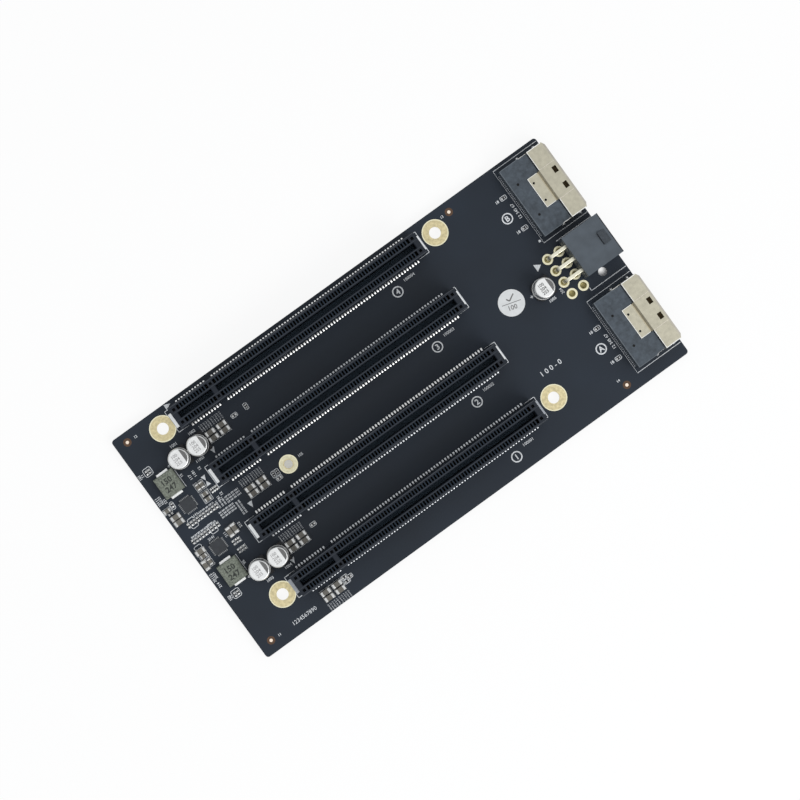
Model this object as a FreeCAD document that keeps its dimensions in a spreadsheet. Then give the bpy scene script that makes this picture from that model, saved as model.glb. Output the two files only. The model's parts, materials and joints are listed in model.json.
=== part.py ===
"""Slot adapter board: four keyed card slots, two cable sockets and a power header on one circuit board.

Millimetres. The origin is the middle of the four mounting holes, on the board's underside.
+X runs along the slots towards the cable sockets, +Y across from slot 1 to slot 4, +Z up.
"""
import FreeCAD, Part
import os

import Sketcher

# Contacts on each side of a card slot, and in a cable socket's rear row
CONTACTS_BEFORE_KEY = 11
CONTACTS_AFTER_KEY = 71
SOCKET_CONTACTS = 37
# Columns of the power header, and of the wider footprint that the board is drilled for
POWER_COLUMNS = 3
FOOTPRINT_COLUMNS = 4
# Small chips in the row beside each regulator
ROW_1_CHIPS = 10
ROW_2_CHIPS = 9
# Sides of a hole that is too small to need a true circle
SMALL_HOLE_SIDES = 6

SIZES = {
    # Circuit board
    "board_thickness": 1.6,
    "board_corner_radius": 1.0,
    "left_edge_to_holes": 14.8,
    "holes_to_right_edge": 41.1,
    "low_edge_to_slot_1": 12.82,
    "slot_4_to_high_edge": 5.82,
    "mounting_hole_diameter": 3.7,
    "support_hole_diameter": 2.7,
    "support_hole_from_contact": 16.1,
    # Card slots
    "slot_pitch": 20.32,
    "contact_pitch": 1.0,
    "key_gap": 3.0,
    "hole_to_first_contact": 8.06,
    "last_contact_to_hole": 9.24,
    "slot_end_margin": 3.0,
    "slot_width": 7.5,
    "slot_height": 11.25,
    "slot_top_edge": 0.3,
    "card_slot_width": 1.75,
    "card_slot_depth": 8.4,
    "card_slot_margin": 1.15,
    "card_slot_lead_in": 0.2,
    "key_bar_width": 1.7,
    "trench_to_centre": 2.2,
    "trench_width": 1.4,
    "trench_depth": 6.5,
    "trench_margin": 0.55,
    "end_pocket_side": 0.9,
    "end_pocket_depth": 2.5,
    "end_pocket_from_contact": 1.6,
    "tail_width": 0.5,
    "tail_reach": 1.0,
    "tail_rise": 0.8,
    "tail_relief_depth": 0.7,
    "tail_relief_height": 1.1,
    "hold_down_width": 4.8,
    "hold_down_height": 3.2,
    "hold_down_reach": 1.55,
    "hold_down_thickness": 0.35,
    "hold_down_clearance": 0.1,
    # Cable sockets
    "connector_overhang": 0.3,
    "socket_spacing": 48.2,
    "socket_width": 23.6,
    "socket_depth": 15.9,
    "insulator_height": 5.6,
    "insulator_shoulder": 1.2,
    "insulator_groove_width": 0.3,
    "insulator_groove_depth": 0.8,
    "nose_to_mouth": 1.6,
    "nose_side_gap": 0.3,
    "nose_height": 3.4,
    "nose_rise": 1.0,
    "mating_slot_wall": 0.3,
    "mating_slot_height": 0.9,
    "mating_slot_depth": 4.0,
    "dimple_diameter": 0.7,
    "dimple_depth": 0.4,
    "dimple_offset": 5.47,
    "dimple_from_rear": 2.45,
    "socket_tail_pitch": 0.6,
    "socket_tail_width": 0.3,
    "socket_tail_reach": 0.45,
    "socket_tail_rise": 0.6,
    "socket_relief_depth": 0.8,
    "socket_relief_height": 0.9,
    "shell_thickness": 0.25,
    "shell_joggle": 0.6,
    "band_depth": 5.95,
    "tab_width": 10.2,
    "tab_reach": 4.4,
    "tab_fold": 0.7,
    "tab_hole_diameter": 0.6,
    "tab_hole_offset": 3.04,
    "tab_hole_from_end": 0.95,
    "seam_width": 0.15,
    "seam_to_mouth": 0.6,
    "window_length": 1.4,
    "window_width": 2.06,
    "window_to_mouth": 1.1,
    "window_offset": 2.77,
    "arm_length": 3.0,
    "arm_height": 2.6,
    "arm_clearance": 0.1,
    "leg_width": 1.0,
    "leg_length": 1.2,
    "leg_clearance": 0.2,
    "front_leg_to_mouth": 2.4,
    # Power header
    "power_pitch": 4.2,
    "power_width": 13.85,
    "power_height": 10.0,
    "power_depth": 12.9,
    "cell_side": 3.5,
    "cell_depth": 9.5,
    "pin_side": 1.07,
    "pin_to_mouth": 2.5,
    "pin_protrusion": 1.2,
    "pin_hole_clearance": 0.02,
    "empty_pin_hole_diameter": 1.8,
    "edge_to_front_pins": 14.1,
    "edge_to_pegs": 6.9,
    "peg_hole_diameter": 2.8,
    "peg_clearance": 0.05,
    "latch_width": 4.0,
    "latch_length": 2.5,
    "latch_height": 0.9,
    "latch_to_mouth": 1.0,
    # Can capacitors
    "can_diameter": 6.3,
    "can_height": 6.6,
    "can_edge": 0.35,
    "can_crimp_height": 1.2,
    "can_crimp_depth": 0.3,
    "base_margin": 0.05,
    "base_height": 0.9,
    "base_corner": 1.3,
    "lead_width": 0.9,
    "lead_length": 2.6,
    "lead_reach": 0.05,
    "lead_thickness": 0.2,
    "capacitor_gap": 0.2,
    "capacitor_edge_past_contact": 0.75,
    "pins_to_capacitor": 3.35,
    # Coils and regulator chips
    "inductor_width": 6.6,
    "inductor_length": 7.1,
    "inductor_height": 2.8,
    "inductor_edge": 0.3,
    "inductor_offset": 16.0,
    "inductor_gap": 0.3,
    "terminal_width": 3.85,
    "terminal_height": 1.4,
    "terminal_foot": 2.0,
    "terminal_reach": 0.55,
    "terminal_thickness": 0.2,
    "regulator_side": 4.0,
    "regulator_height": 0.9,
    "regulator_edge": 0.1,
    "regulator_gap": 2.0,
    "left_edge_to_regulator": 7.7,
    # Chip parts
    "large_chip_length": 3.2,
    "large_chip_width": 1.6,
    "large_chip_height": 1.4,
    "medium_chip_length": 2.0,
    "medium_chip_width": 1.25,
    "medium_chip_height": 1.0,
    "small_chip_length": 1.0,
    "small_chip_width": 0.5,
    "small_chip_height": 0.4,
    "bypass_past_contact": 1.1,
    "bypass_gap_along": 0.9,
    "bypass_gap_across": 0.35,
    "edge_bypass_offset": 8.0,
    "resistor_row_pitch": 1.12,
    "socket_to_resistor": 2.75,
    "upper_resistor_offset": 4.95,
    "lower_resistor_offset": 6.05,
    # Inspection sticker
    "sticker_diameter": 8.2,
    "sticker_thickness": 0.1,
    "hole_to_sticker": 6.3,
}

# Places worked out from the sizes, shared by every piece that lines up with them
DERIVED = {
    "contact_span": f"{CONTACTS_BEFORE_KEY + CONTACTS_AFTER_KEY - 2} * Sizes.contact_pitch + Sizes.key_gap",
    "key_x": f"{CONTACTS_BEFORE_KEY - 1} * Sizes.contact_pitch + Sizes.key_gap / 2",
    "slot_length": "contact_span + 2 * Sizes.slot_end_margin",
    "hole_span_x": "Sizes.hole_to_first_contact + contact_span + Sizes.last_contact_to_hole",
    "hole_span_y": "3 * Sizes.slot_pitch",
    "first_contact_x": "Sizes.hole_to_first_contact - hole_span_x / 2",
    "left_edge": "-hole_span_x / 2 - Sizes.left_edge_to_holes",
    "right_edge": "hole_span_x / 2 + Sizes.holes_to_right_edge",
    "low_edge": "-hole_span_y / 2 - Sizes.low_edge_to_slot_1",
    "high_edge": "hole_span_y / 2 + Sizes.slot_4_to_high_edge",
    "support_hole_x": "first_contact_x + Sizes.support_hole_from_contact",
    "mouth_x": "right_edge + Sizes.connector_overhang",
    "front_pins_x": "right_edge - Sizes.edge_to_front_pins",
    "rear_pins_x": "front_pins_x - Sizes.power_pitch",
    "peg_x": "right_edge - Sizes.edge_to_pegs",
    "footprint_y": f"-{(FOOTPRINT_COLUMNS - POWER_COLUMNS) / 2} * Sizes.power_pitch",
    "socket_a_y": "footprint_y - Sizes.socket_spacing / 2",
    "socket_b_y": "footprint_y + Sizes.socket_spacing / 2",
    "insulator_width": "Sizes.socket_width - 2 * Sizes.shell_thickness",
    "shell_height": "Sizes.insulator_height + Sizes.shell_joggle + Sizes.shell_thickness",
    "nose_width": "insulator_width - 2 * Sizes.nose_side_gap",
    "mating_slot_width": "nose_width - 2 * Sizes.mating_slot_wall",
    "rear_leg_x": "-Sizes.band_depth - Sizes.arm_length + Sizes.leg_width / 2",
    "front_leg_x": "-Sizes.front_leg_to_mouth",
    "leg_y": "Sizes.socket_width / 2 - Sizes.shell_thickness / 2",
    "lower_pins_z": "(Sizes.power_height - Sizes.power_pitch) / 2",
    "upper_pins_z": "(Sizes.power_height + Sizes.power_pitch) / 2",
    "base_side": "Sizes.can_diameter + 2 * Sizes.base_margin",
    "base_top": "Sizes.lead_thickness + Sizes.base_height",
    "near_capacitor_x": "first_contact_x + Sizes.capacitor_edge_past_contact - base_side / 2",
    "far_capacitor_x": "near_capacitor_x - base_side - 2 * Sizes.lead_reach - Sizes.capacitor_gap",
    "power_capacitor_x": "rear_pins_x - Sizes.pins_to_capacitor - base_side / 2",
    "inductor_x": "far_capacitor_x - base_side / 2 - Sizes.lead_reach"
                  " - Sizes.inductor_gap - Sizes.inductor_width / 2",
    "terminal_end": "Sizes.inductor_length / 2 + Sizes.terminal_thickness + Sizes.terminal_reach",
    "regulator_x": "left_edge + Sizes.left_edge_to_regulator",
    "regulator_y": "Sizes.inductor_offset - terminal_end - Sizes.regulator_gap - Sizes.regulator_side / 2",
    "bypass_step_x": "Sizes.large_chip_length + Sizes.bypass_gap_along",
    "bypass_step_y": "Sizes.large_chip_width + Sizes.bypass_gap_across",
    "bypass_x": "first_contact_x + Sizes.bypass_past_contact + Sizes.large_chip_length / 2",
    "sticker_x": "hole_span_x / 2 + Sizes.hole_to_sticker",
}

# Chip parts of the two regulators: kind, direction, distance from the board's left edge, and distance from
# the line between slots 2 and 3
REGULATOR_CHIPS = {
    "regulator_1_capacitors": [
        ("large", "x", 2.55, 6.8), ("large", "x", 2.55, 4.95), ("medium", "x", 1.5, 9.75),
        ("medium", "y", 13.1, 10.2), ("medium", "y", 14.45, 10.2), ("medium", "x", 13.6, 7.4),
        ("medium", "x", 13.5, 5.65),
    ],
    "regulator_2_capacitors": [
        ("large", "x", 2.5, -5.75), ("medium", "x", 2.5, -7.4), ("large", "y", 1.35, -10.0),
        ("medium", "y", 3.05, -9.85), ("large", "y", 13.0, -6.15), ("large", "y", 14.8, -6.0),
    ],
    "regulator_1_resistors": [
        ("small", "y", 3.75, 10.3), ("small", "x", 1.85, 8.4), ("small", "y", 15.8, 6.95),
        ("small", "y", 16.65, 6.95), ("small", "y", 17.5, 6.95), ("small", "y", 3.2, 22.5),
        ("small", "y", 4.1, 22.5),
    ],
    "regulator_2_resistors": [
        ("small", "y", 12.0, -9.5), ("small", "y", 13.1, -9.5), ("small", "y", 13.9, -9.6),
        ("small", "y", 11.9, -12.35), ("small", "y", 12.9, -12.35), ("small", "y", 13.95, -12.35),
        ("small", "y", 3.3, -22.2), ("small", "y", 4.35, -22.2),
    ],
}
# The row of small chips beside each regulator: first distance from the left edge, count, and the row's line
RESISTOR_ROWS = {
    "regulator_1_resistors": (4.1, ROW_1_CHIPS, 2.5),
    "regulator_2_resistors": (2.4, ROW_2_CHIPS, -2.2),
}
# Small chips beside the slots: slot, direction, distance past the key, and distance below the slot's middle
SLOT_RESISTORS = [
    (4, "x", 0.0, 9.2), (4, "y", 4.4, 9.0), (3, "y", -0.8, 10.1), (3, "y", 0.5, 10.1), (3, "x", 0.0, 11.9),
    (2, "x", 0.0, 8.7), (1, "x", -1.7, 6.7), (1, "x", -1.7, 8.1), (1, "x", -0.3, 7.4),
]

doc = FreeCAD.newDocument("slot_adapter_board")
sheet = doc.addObject("Spreadsheet::Sheet", "Sizes")
layout = doc.addObject("App::VarSet", "Layout")
pieces = []


def fill_sheet():
    """Writes each driving size into a cell of its own, and ties the shared places to those cells."""
    for row, (name, value) in enumerate(SIZES.items(), start=1):
        sheet.set(f"A{row}", name)
        sheet.set(f"B{row}", str(value))
        sheet.setAlias(f"B{row}", name)
    doc.recompute()
    for name in DERIVED:
        layout.addProperty("App::PropertyFloat", name)
    for name, expression in DERIVED.items():
        layout.setExpression(name, expression)
    doc.recompute()


def size(name):
    """A driving size as a plain number."""
    return float(sheet.get(name))


def bind(thing, expressions):
    """Ties properties of an object to expressions on the sheet."""
    for path, expression in expressions.items():
        thing.setExpression(path, expression)


def place(thing, x, y, z="Sizes.board_thickness"):
    """Ties an object's place to expressions; by default it stands on the board's upper face."""
    bind(thing, {"Placement.Base.x": x, "Placement.Base.y": y, "Placement.Base.z": z})


def keep(thing, label):
    """Names a finished piece and lists it for writing."""
    thing.Label = label
    pieces.append(thing)
    return thing


def new_body(label):
    return keep(doc.addObject("PartDesign::Body", label), label)


def new_sketch(body, name, role, offset="0"):
    """A sketch on one of the body's own origin planes, moved along the plane's normal."""
    sketch = body.newObject("Sketcher::SketchObject", name)
    support = [feature for feature in body.Origin.OriginFeatures if feature.Role == role]
    sketch.AttachmentSupport = [(support[0], "")]
    sketch.MapMode = "FlatFace"
    sketch.setExpression("AttachmentOffset.Base.z", offset)
    return sketch


def add_polygon(sketch, corners):
    """A closed outline whose corners are pairs of expressions."""
    first = sketch.GeometryCount
    count = len(corners)
    start = [FreeCAD.Vector(10 + index, (index % 2) * 10 + index * index, 0) for index in range(count)]
    for index in range(count):
        sketch.addGeometry(Part.LineSegment(start[index], start[(index + 1) % count]), False)
    for index in range(count):
        following = first + (index + 1) % count
        sketch.addConstraint(Sketcher.Constraint("Coincident", first + index, 2, following, 1))
    for index, (across, up) in enumerate(corners):
        corner = start[index]
        for kind, value, expression in (("DistanceX", corner.x, across), ("DistanceY", corner.y, up)):
            constraint = Sketcher.Constraint(kind, -1, 1, first + index, 1, value)
            sketch.setExpression(f"Constraints[{sketch.addConstraint(constraint)}]", expression)


def add_rectangle(sketch, left, right, low, high):
    add_polygon(sketch, [(left, low), (right, low), (right, high), (left, high)])


def add_circle(sketch, across, up, diameter):
    """A circle whose centre and diameter are expressions."""
    index = sketch.GeometryCount
    centre = FreeCAD.Vector(10, 10, 0)
    sketch.addGeometry(Part.Circle(centre, FreeCAD.Vector(0, 0, 1), 1), False)
    for kind, value, expression in (("DistanceX", centre.x, across), ("DistanceY", centre.y, up)):
        constraint = Sketcher.Constraint(kind, -1, 1, index, 3, value)
        sketch.setExpression(f"Constraints[{sketch.addConstraint(constraint)}]", expression)
    constraint = Sketcher.Constraint("Diameter", index, 2)
    sketch.setExpression(f"Constraints[{sketch.addConstraint(constraint)}]", diameter)


def add_small_hole(sketch, across, up, diameter):
    """A small round hole drawn with a few straight sides."""
    corners = []
    for index in range(SMALL_HOLE_SIDES):
        angle = 360 * (index + 0.5) / SMALL_HOLE_SIDES
        corner_across = f"{across} + {diameter} / 2 * cos({angle} deg)"
        corner_up = f"{up} + {diameter} / 2 * sin({angle} deg)"
        corners.append((corner_across, corner_up))
    add_polygon(sketch, corners)


def add_pad(body, sketch, length, reverse=False, symmetric=False):
    """A pad that has to add material."""
    before = body.Shape.Volume if body.Tip else 0
    pad = body.newObject("PartDesign::Pad", sketch.Name + "_pad")
    pad.Profile = sketch
    pad.Reversed = reverse
    if symmetric:
        pad.SideType = "Symmetric"
    pad.setExpression("Length", length)
    doc.recompute()
    if body.Shape.Volume <= before:
        raise RuntimeError(f"{pad.Name} adds nothing")
    return pad


def add_pocket(body, sketch, length=None, reverse=False):
    """A pocket that has to take material away; with no length it goes right through."""
    before = body.Shape.Volume
    pocket = body.newObject("PartDesign::Pocket", sketch.Name + "_pocket")
    pocket.Profile = sketch
    pocket.Reversed = reverse
    if length is None:
        pocket.Type = "ThroughAll"
    else:
        pocket.setExpression("Length", length)
    doc.recompute()
    if body.Shape.Volume >= before:
        raise RuntimeError(f"{pocket.Name} cuts nothing")
    return pocket


def dress_edges(body, kind, name, length, chosen):
    """A fillet or chamfer on the edges of the last feature that a test picks."""
    base = body.Tip
    names = [f"Edge{index}" for index, edge in enumerate(base.Shape.Edges, start=1) if chosen(edge)]
    dressing = body.newObject(f"PartDesign::{kind}", name)
    dressing.Base = (base, names)
    dressing.setExpression("Radius" if kind == "Fillet" else "Size", length)
    doc.recompute()


def runs_along(edge, axis):
    """Whether a straight edge is parallel to an axis."""
    if not isinstance(edge.Curve, Part.Line):
        return False
    return abs(edge.Curve.Direction.dot(axis)) > 0.999


def at_height(edge, height):
    return all(abs(vertex.Z - height) < 0.001 for vertex in edge.Vertexes)


def prism(corners, direction):
    """A straight solid on a flat outline of points."""
    face = Part.Face(Part.makePolygon(corners + corners[:1]))
    return face.extrude(direction)


def group(label, solids, x, y, z="Sizes.board_thickness"):
    """Separate solids of one kind that share a node."""
    feature = doc.addObject("Part::Feature", label)
    feature.Shape = Part.makeCompound(solids)
    place(feature, x, y, z)
    return keep(feature, label)


def contact_places():
    """Distances of a slot's contacts from its first one."""
    pitch = size("contact_pitch")
    last_before_key = (CONTACTS_BEFORE_KEY - 1) * pitch
    before = [index * pitch for index in range(CONTACTS_BEFORE_KEY)]
    after = [last_before_key + size("key_gap") + index * pitch for index in range(CONTACTS_AFTER_KEY)]
    return before + after


def slot_y(number):
    """Where a slot lies across the board, as an expression."""
    return f"{number - 2.5} * Sizes.slot_pitch"


def make_board():
    """Laminate with its mounting, support, pin, peg and shell-leg holes."""
    body = new_body("circuit_board")
    outline = new_sketch(body, "board_outline", "XY_Plane")
    add_rectangle(outline, "Layout.left_edge", "Layout.right_edge", "Layout.low_edge", "Layout.high_edge")
    add_pad(body, outline, "Sizes.board_thickness")
    up = FreeCAD.Vector(0, 0, 1)
    dress_edges(body, "Fillet", "board_corners", "Sizes.board_corner_radius",
                lambda edge: runs_along(edge, up))
    holes = new_sketch(body, "board_holes", "XY_Plane")
    for side_x in ("-", "+"):
        for side_y in ("-", "+"):
            add_circle(holes, f"{side_x}Layout.hole_span_x / 2", f"{side_y}Layout.hole_span_y / 2",
                       "Sizes.mounting_hole_diameter")
    add_circle(holes, "Layout.support_hole_x", "0", "Sizes.support_hole_diameter")
    pin_half = "(Sizes.pin_side / 2 + Sizes.pin_hole_clearance)"
    for column in range(FOOTPRINT_COLUMNS):
        middle = f"{1 - column} * Sizes.power_pitch"
        for row in ("Layout.front_pins_x", "Layout.rear_pins_x"):
            if column < POWER_COLUMNS:
                add_rectangle(holes, f"{row} - {pin_half}", f"{row} + {pin_half}",
                              f"{middle} - {pin_half}", f"{middle} + {pin_half}")
            else:
                add_circle(holes, row, middle, "Sizes.empty_pin_hole_diameter")
    for column in (0, FOOTPRINT_COLUMNS - 1):
        add_circle(holes, "Layout.peg_x", f"{1 - column} * Sizes.power_pitch", "Sizes.peg_hole_diameter")
    leg_long = "(Sizes.leg_width / 2 + Sizes.leg_clearance)"
    leg_short = "(Sizes.shell_thickness / 2 + Sizes.leg_clearance)"
    for socket in ("Layout.socket_a_y", "Layout.socket_b_y"):
        for side in ("-", "+"):
            middle = f"{socket} {side} Layout.leg_y"
            for leg in ("Layout.rear_leg_x", "Layout.front_leg_x"):
                leg_middle = f"Layout.mouth_x + {leg}"
                add_rectangle(holes, f"{leg_middle} - {leg_long}", f"{leg_middle} + {leg_long}",
                              f"{middle} - {leg_short}", f"{middle} + {leg_short}")
    add_pocket(body, holes, reverse=True)


def make_slot_housing(number):
    """Moulded slot body: keyed card slot with a lead-in, contact trenches, end pockets and tail reliefs."""
    body = new_body(f"slot_{number}_housing")
    profile = new_sketch(body, f"slot_{number}_profile", "YZ_Plane", "-Sizes.slot_end_margin")
    side = "Sizes.slot_width / 2"
    foot = "(Sizes.slot_width / 2 - Sizes.tail_relief_depth)"
    rim = "(Sizes.slot_width / 2 - Sizes.slot_top_edge)"
    shoulder = "Sizes.slot_height - Sizes.slot_top_edge"
    right_half = [(foot, "0"), (foot, "Sizes.tail_relief_height"), (side, "Sizes.tail_relief_height"),
                  (side, shoulder), (rim, "Sizes.slot_height")]
    left_half = [(f"-{across}", up) for across, up in reversed(right_half)]
    add_polygon(profile, right_half + left_half)
    add_pad(body, profile, "Layout.slot_length")

    card = new_sketch(body, f"slot_{number}_card", "XY_Plane", "Sizes.slot_height")
    sections = [("-Sizes.card_slot_margin", "Layout.key_x - Sizes.key_bar_width / 2"),
                ("Layout.key_x + Sizes.key_bar_width / 2", "Layout.contact_span + Sizes.card_slot_margin")]
    for start, end in sections:
        add_rectangle(card, start, end, "-Sizes.card_slot_width / 2", "Sizes.card_slot_width / 2")
    add_pocket(body, card, "Sizes.card_slot_depth")
    half_slot = size("card_slot_width") / 2
    top = size("slot_height")

    def on_slot_rim(edge):
        return at_height(edge, top) and all(abs(vertex.Y) < half_slot + 0.001 for vertex in edge.Vertexes)

    dress_edges(body, "Chamfer", f"slot_{number}_lead_in", "Sizes.card_slot_lead_in", on_slot_rim)

    trenches = new_sketch(body, f"slot_{number}_trenches", "XY_Plane", "Sizes.slot_height")
    runs = [("-Sizes.trench_margin", "Layout.key_x - Sizes.key_gap / 2 + Sizes.trench_margin"),
            ("Layout.key_x + Sizes.key_gap / 2 - Sizes.trench_margin",
             "Layout.contact_span + Sizes.trench_margin")]
    for sign in ("-", ""):
        near = f"{sign}(Sizes.trench_to_centre - Sizes.trench_width / 2)"
        far = f"{sign}(Sizes.trench_to_centre + Sizes.trench_width / 2)"
        for start, end in runs:
            add_rectangle(trenches, start, end, near, far)
    add_pocket(body, trenches, "Sizes.trench_depth")

    pockets = new_sketch(body, f"slot_{number}_end_pockets", "XY_Plane", "Sizes.slot_height")
    half = "Sizes.end_pocket_side / 2"
    for sign in ("-", ""):
        for centre in ("-Sizes.end_pocket_from_contact", "Layout.key_x",
                       "Layout.contact_span + Sizes.end_pocket_from_contact"):
            add_rectangle(pockets, f"{centre} - {half}", f"{centre} + {half}",
                          f"{sign}Sizes.trench_to_centre - {half}", f"{sign}Sizes.trench_to_centre + {half}")
    add_pocket(body, pockets, "Sizes.end_pocket_depth")

    ends = (("near", "-Sizes.slot_end_margin", True),
            ("far", "Layout.contact_span + Sizes.slot_end_margin", False))
    for end, offset, inwards in ends:
        recess = new_sketch(body, f"slot_{number}_{end}_recess", "YZ_Plane", offset)
        reach = "(Sizes.hold_down_width / 2 + Sizes.hold_down_clearance)"
        add_rectangle(recess, f"-{reach}", reach, "0", "Sizes.hold_down_height + Sizes.hold_down_clearance")
        add_pocket(body, recess, "Sizes.hold_down_thickness", reverse=inwards)
    place(body, "Layout.first_contact_x", slot_y(number))


def make_slot_contacts(number):
    """The two rows of contact tails: each comes out of the relief and slopes down to its solder pad."""
    inner = size("slot_width") / 2 - size("tail_relief_depth")
    tip = size("slot_width") / 2 + size("tail_reach")
    width = size("tail_width")
    for side, sign in (("a", 1), ("b", -1)):
        tails = []
        for x in contact_places():
            start = x - width / 2
            corners = [FreeCAD.Vector(start, sign * inner, 0), FreeCAD.Vector(start, sign * tip, 0),
                       FreeCAD.Vector(start, sign * inner, size("tail_rise"))]
            tails.append(prism(corners, FreeCAD.Vector(width, 0, 0)))
        group(f"slot_{number}_contacts_{side}", tails, "Layout.first_contact_x", slot_y(number))


def make_slot_hold_downs(number):
    """An angle clip at each end: the upright sits in the housing's recess, the foot is soldered down."""
    thickness = size("hold_down_thickness")
    height = size("hold_down_height")
    width = size("hold_down_width")
    clips = []
    for end_x, outwards in ((-size("slot_end_margin"), -1),
                            (layout.contact_span + size("slot_end_margin"), 1)):
        inner = end_x - outwards * thickness
        tip = end_x + outwards * size("hold_down_reach")
        outline = [(inner, 0), (tip, 0), (tip, thickness),
                   (end_x, thickness), (end_x, height), (inner, height)]
        corners = [FreeCAD.Vector(x, -width / 2, z) for x, z in outline]
        clips.append(prism(corners, FreeCAD.Vector(0, width, 0)))
    group(f"slot_{number}_hold_downs", clips, "Layout.first_contact_x", slot_y(number))


def make_socket_housing(letter):
    """Moulded insulator: a shoulder that fills the shell's rear, and a slotted nose inside its mouth."""
    body = new_body(f"cable_socket_{letter}_housing")
    profile = new_sketch(body, f"socket_{letter}_profile", "XZ_Plane")
    rear = "-Sizes.socket_depth"
    relief = "-Sizes.socket_depth + Sizes.socket_relief_depth"
    shoulder = "-Sizes.band_depth + Sizes.insulator_shoulder"
    front = "-Sizes.nose_to_mouth"
    nose_top = "Sizes.nose_rise + Sizes.nose_height"
    top = "Sizes.insulator_height"
    groove_floor = "Sizes.insulator_height - Sizes.insulator_groove_depth"
    groove_rear = "-Sizes.band_depth - Sizes.insulator_groove_width"
    add_polygon(profile, [(relief, "0"), (shoulder, "0"), (shoulder, "Sizes.nose_rise"),
                          (front, "Sizes.nose_rise"), (front, nose_top), (shoulder, nose_top),
                          (shoulder, top), ("-Sizes.band_depth", top), ("-Sizes.band_depth", groove_floor),
                          (groove_rear, groove_floor), (groove_rear, top), (rear, top),
                          (rear, "Sizes.socket_relief_height"), (relief, "Sizes.socket_relief_height")])
    add_pad(body, profile, "Sizes.socket_width", symmetric=True)

    # The shell's arms and band lie in a step along each side, and the nose is narrower still
    sides = new_sketch(body, f"socket_{letter}_sides", "XY_Plane")
    step_rear = "-Sizes.band_depth - Sizes.arm_length - Sizes.arm_clearance"
    for sign in ("-", ""):
        outside = f"{sign}Sizes.socket_width / 2"
        step = f"{sign}Layout.insulator_width / 2"
        nose = f"{sign}Layout.nose_width / 2"
        add_polygon(sides, [(step_rear, step), (shoulder, step), (shoulder, nose), (front, nose),
                            (front, outside), (step_rear, outside)])
    add_pocket(body, sides, reverse=True)

    slot = new_sketch(body, f"socket_{letter}_mating_slot", "YZ_Plane", front)
    middle = "Sizes.nose_rise + Sizes.nose_height / 2"
    add_rectangle(slot, "-Layout.mating_slot_width / 2", "Layout.mating_slot_width / 2",
                  f"{middle} - Sizes.mating_slot_height / 2", f"{middle} + Sizes.mating_slot_height / 2")
    add_pocket(body, slot, "Sizes.mating_slot_depth")

    dimples = new_sketch(body, f"socket_{letter}_dimples", "XY_Plane", "Sizes.insulator_height")
    for sign in ("-", ""):
        add_small_hole(dimples, "-Sizes.socket_depth + Sizes.dimple_from_rear", f"{sign}Sizes.dimple_offset",
                       "Sizes.dimple_diameter")
    add_pocket(body, dimples, "Sizes.dimple_depth")
    place(body, "Layout.mouth_x", f"Layout.socket_{letter}_y")


def make_socket_shell(letter):
    """Folded metal shell: the mouth band, a tab laid back over the insulator, side arms and board legs."""
    body = new_body(f"cable_socket_{letter}_shell")
    band = new_sketch(body, f"socket_{letter}_band", "YZ_Plane")
    outer = "Sizes.socket_width / 2"
    inner = "(Sizes.socket_width / 2 - Sizes.shell_thickness)"
    roof = "Layout.shell_height - Sizes.shell_thickness"
    add_polygon(band, [(f"-{outer}", "0"), (f"-{inner}", "0"), (f"-{inner}", roof), (inner, roof),
                       (inner, "0"), (outer, "0"), (outer, "Layout.shell_height"),
                       (f"-{outer}", "Layout.shell_height")])
    add_pad(body, band, "Sizes.band_depth", reverse=True)

    tab = new_sketch(body, f"socket_{letter}_tab", "XZ_Plane")
    fold = "-Sizes.band_depth - Sizes.tab_fold"
    tip = "-Sizes.band_depth - Sizes.tab_reach"
    tab_top = "Sizes.insulator_height + Sizes.shell_thickness"
    add_polygon(tab, [("-Sizes.band_depth", "Layout.shell_height"), (fold, tab_top), (tip, tab_top),
                      (tip, "Sizes.insulator_height"), (fold, "Sizes.insulator_height"),
                      ("-Sizes.band_depth", roof)])
    add_pad(body, tab, "Sizes.tab_width", symmetric=True)

    arms = new_sketch(body, f"socket_{letter}_arms", "YZ_Plane", "-Sizes.band_depth")
    legs = new_sketch(body, f"socket_{letter}_legs", "XY_Plane")
    for sign in ("-", ""):
        add_rectangle(arms, f"{sign}{inner}", f"{sign}{outer}", "0", "Sizes.arm_height")
        for leg in ("Layout.rear_leg_x", "Layout.front_leg_x"):
            add_rectangle(legs, f"{leg} - Sizes.leg_width / 2", f"{leg} + Sizes.leg_width / 2",
                          f"{sign}{inner}", f"{sign}{outer}")
    add_pad(body, arms, "Sizes.arm_length", reverse=True)
    add_pad(body, legs, "Sizes.leg_length", reverse=True)

    openings = new_sketch(body, f"socket_{letter}_windows", "XY_Plane", "Layout.shell_height")
    for sign in ("-", ""):
        middle = f"{sign}Sizes.window_offset"
        add_rectangle(openings, "-Sizes.window_to_mouth - Sizes.window_length", "-Sizes.window_to_mouth",
                      f"{middle} - Sizes.window_width / 2", f"{middle} + Sizes.window_width / 2")
        seam = f"{sign}(Sizes.tab_width + Sizes.seam_width) / 2"
        add_rectangle(openings, "-Sizes.band_depth", "-Sizes.seam_to_mouth",
                      f"{seam} - Sizes.seam_width / 2", f"{seam} + Sizes.seam_width / 2")
    add_pocket(body, openings, "Sizes.shell_thickness")
    holes = new_sketch(body, f"socket_{letter}_tab_holes", "XY_Plane", tab_top)
    for sign in ("-", ""):
        add_small_hole(holes, f"{tip} + Sizes.tab_hole_from_end", f"{sign}Sizes.tab_hole_offset",
                       "Sizes.tab_hole_diameter")
    add_pocket(body, holes, "Sizes.shell_thickness")
    place(body, "Layout.mouth_x", f"Layout.socket_{letter}_y")


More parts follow.
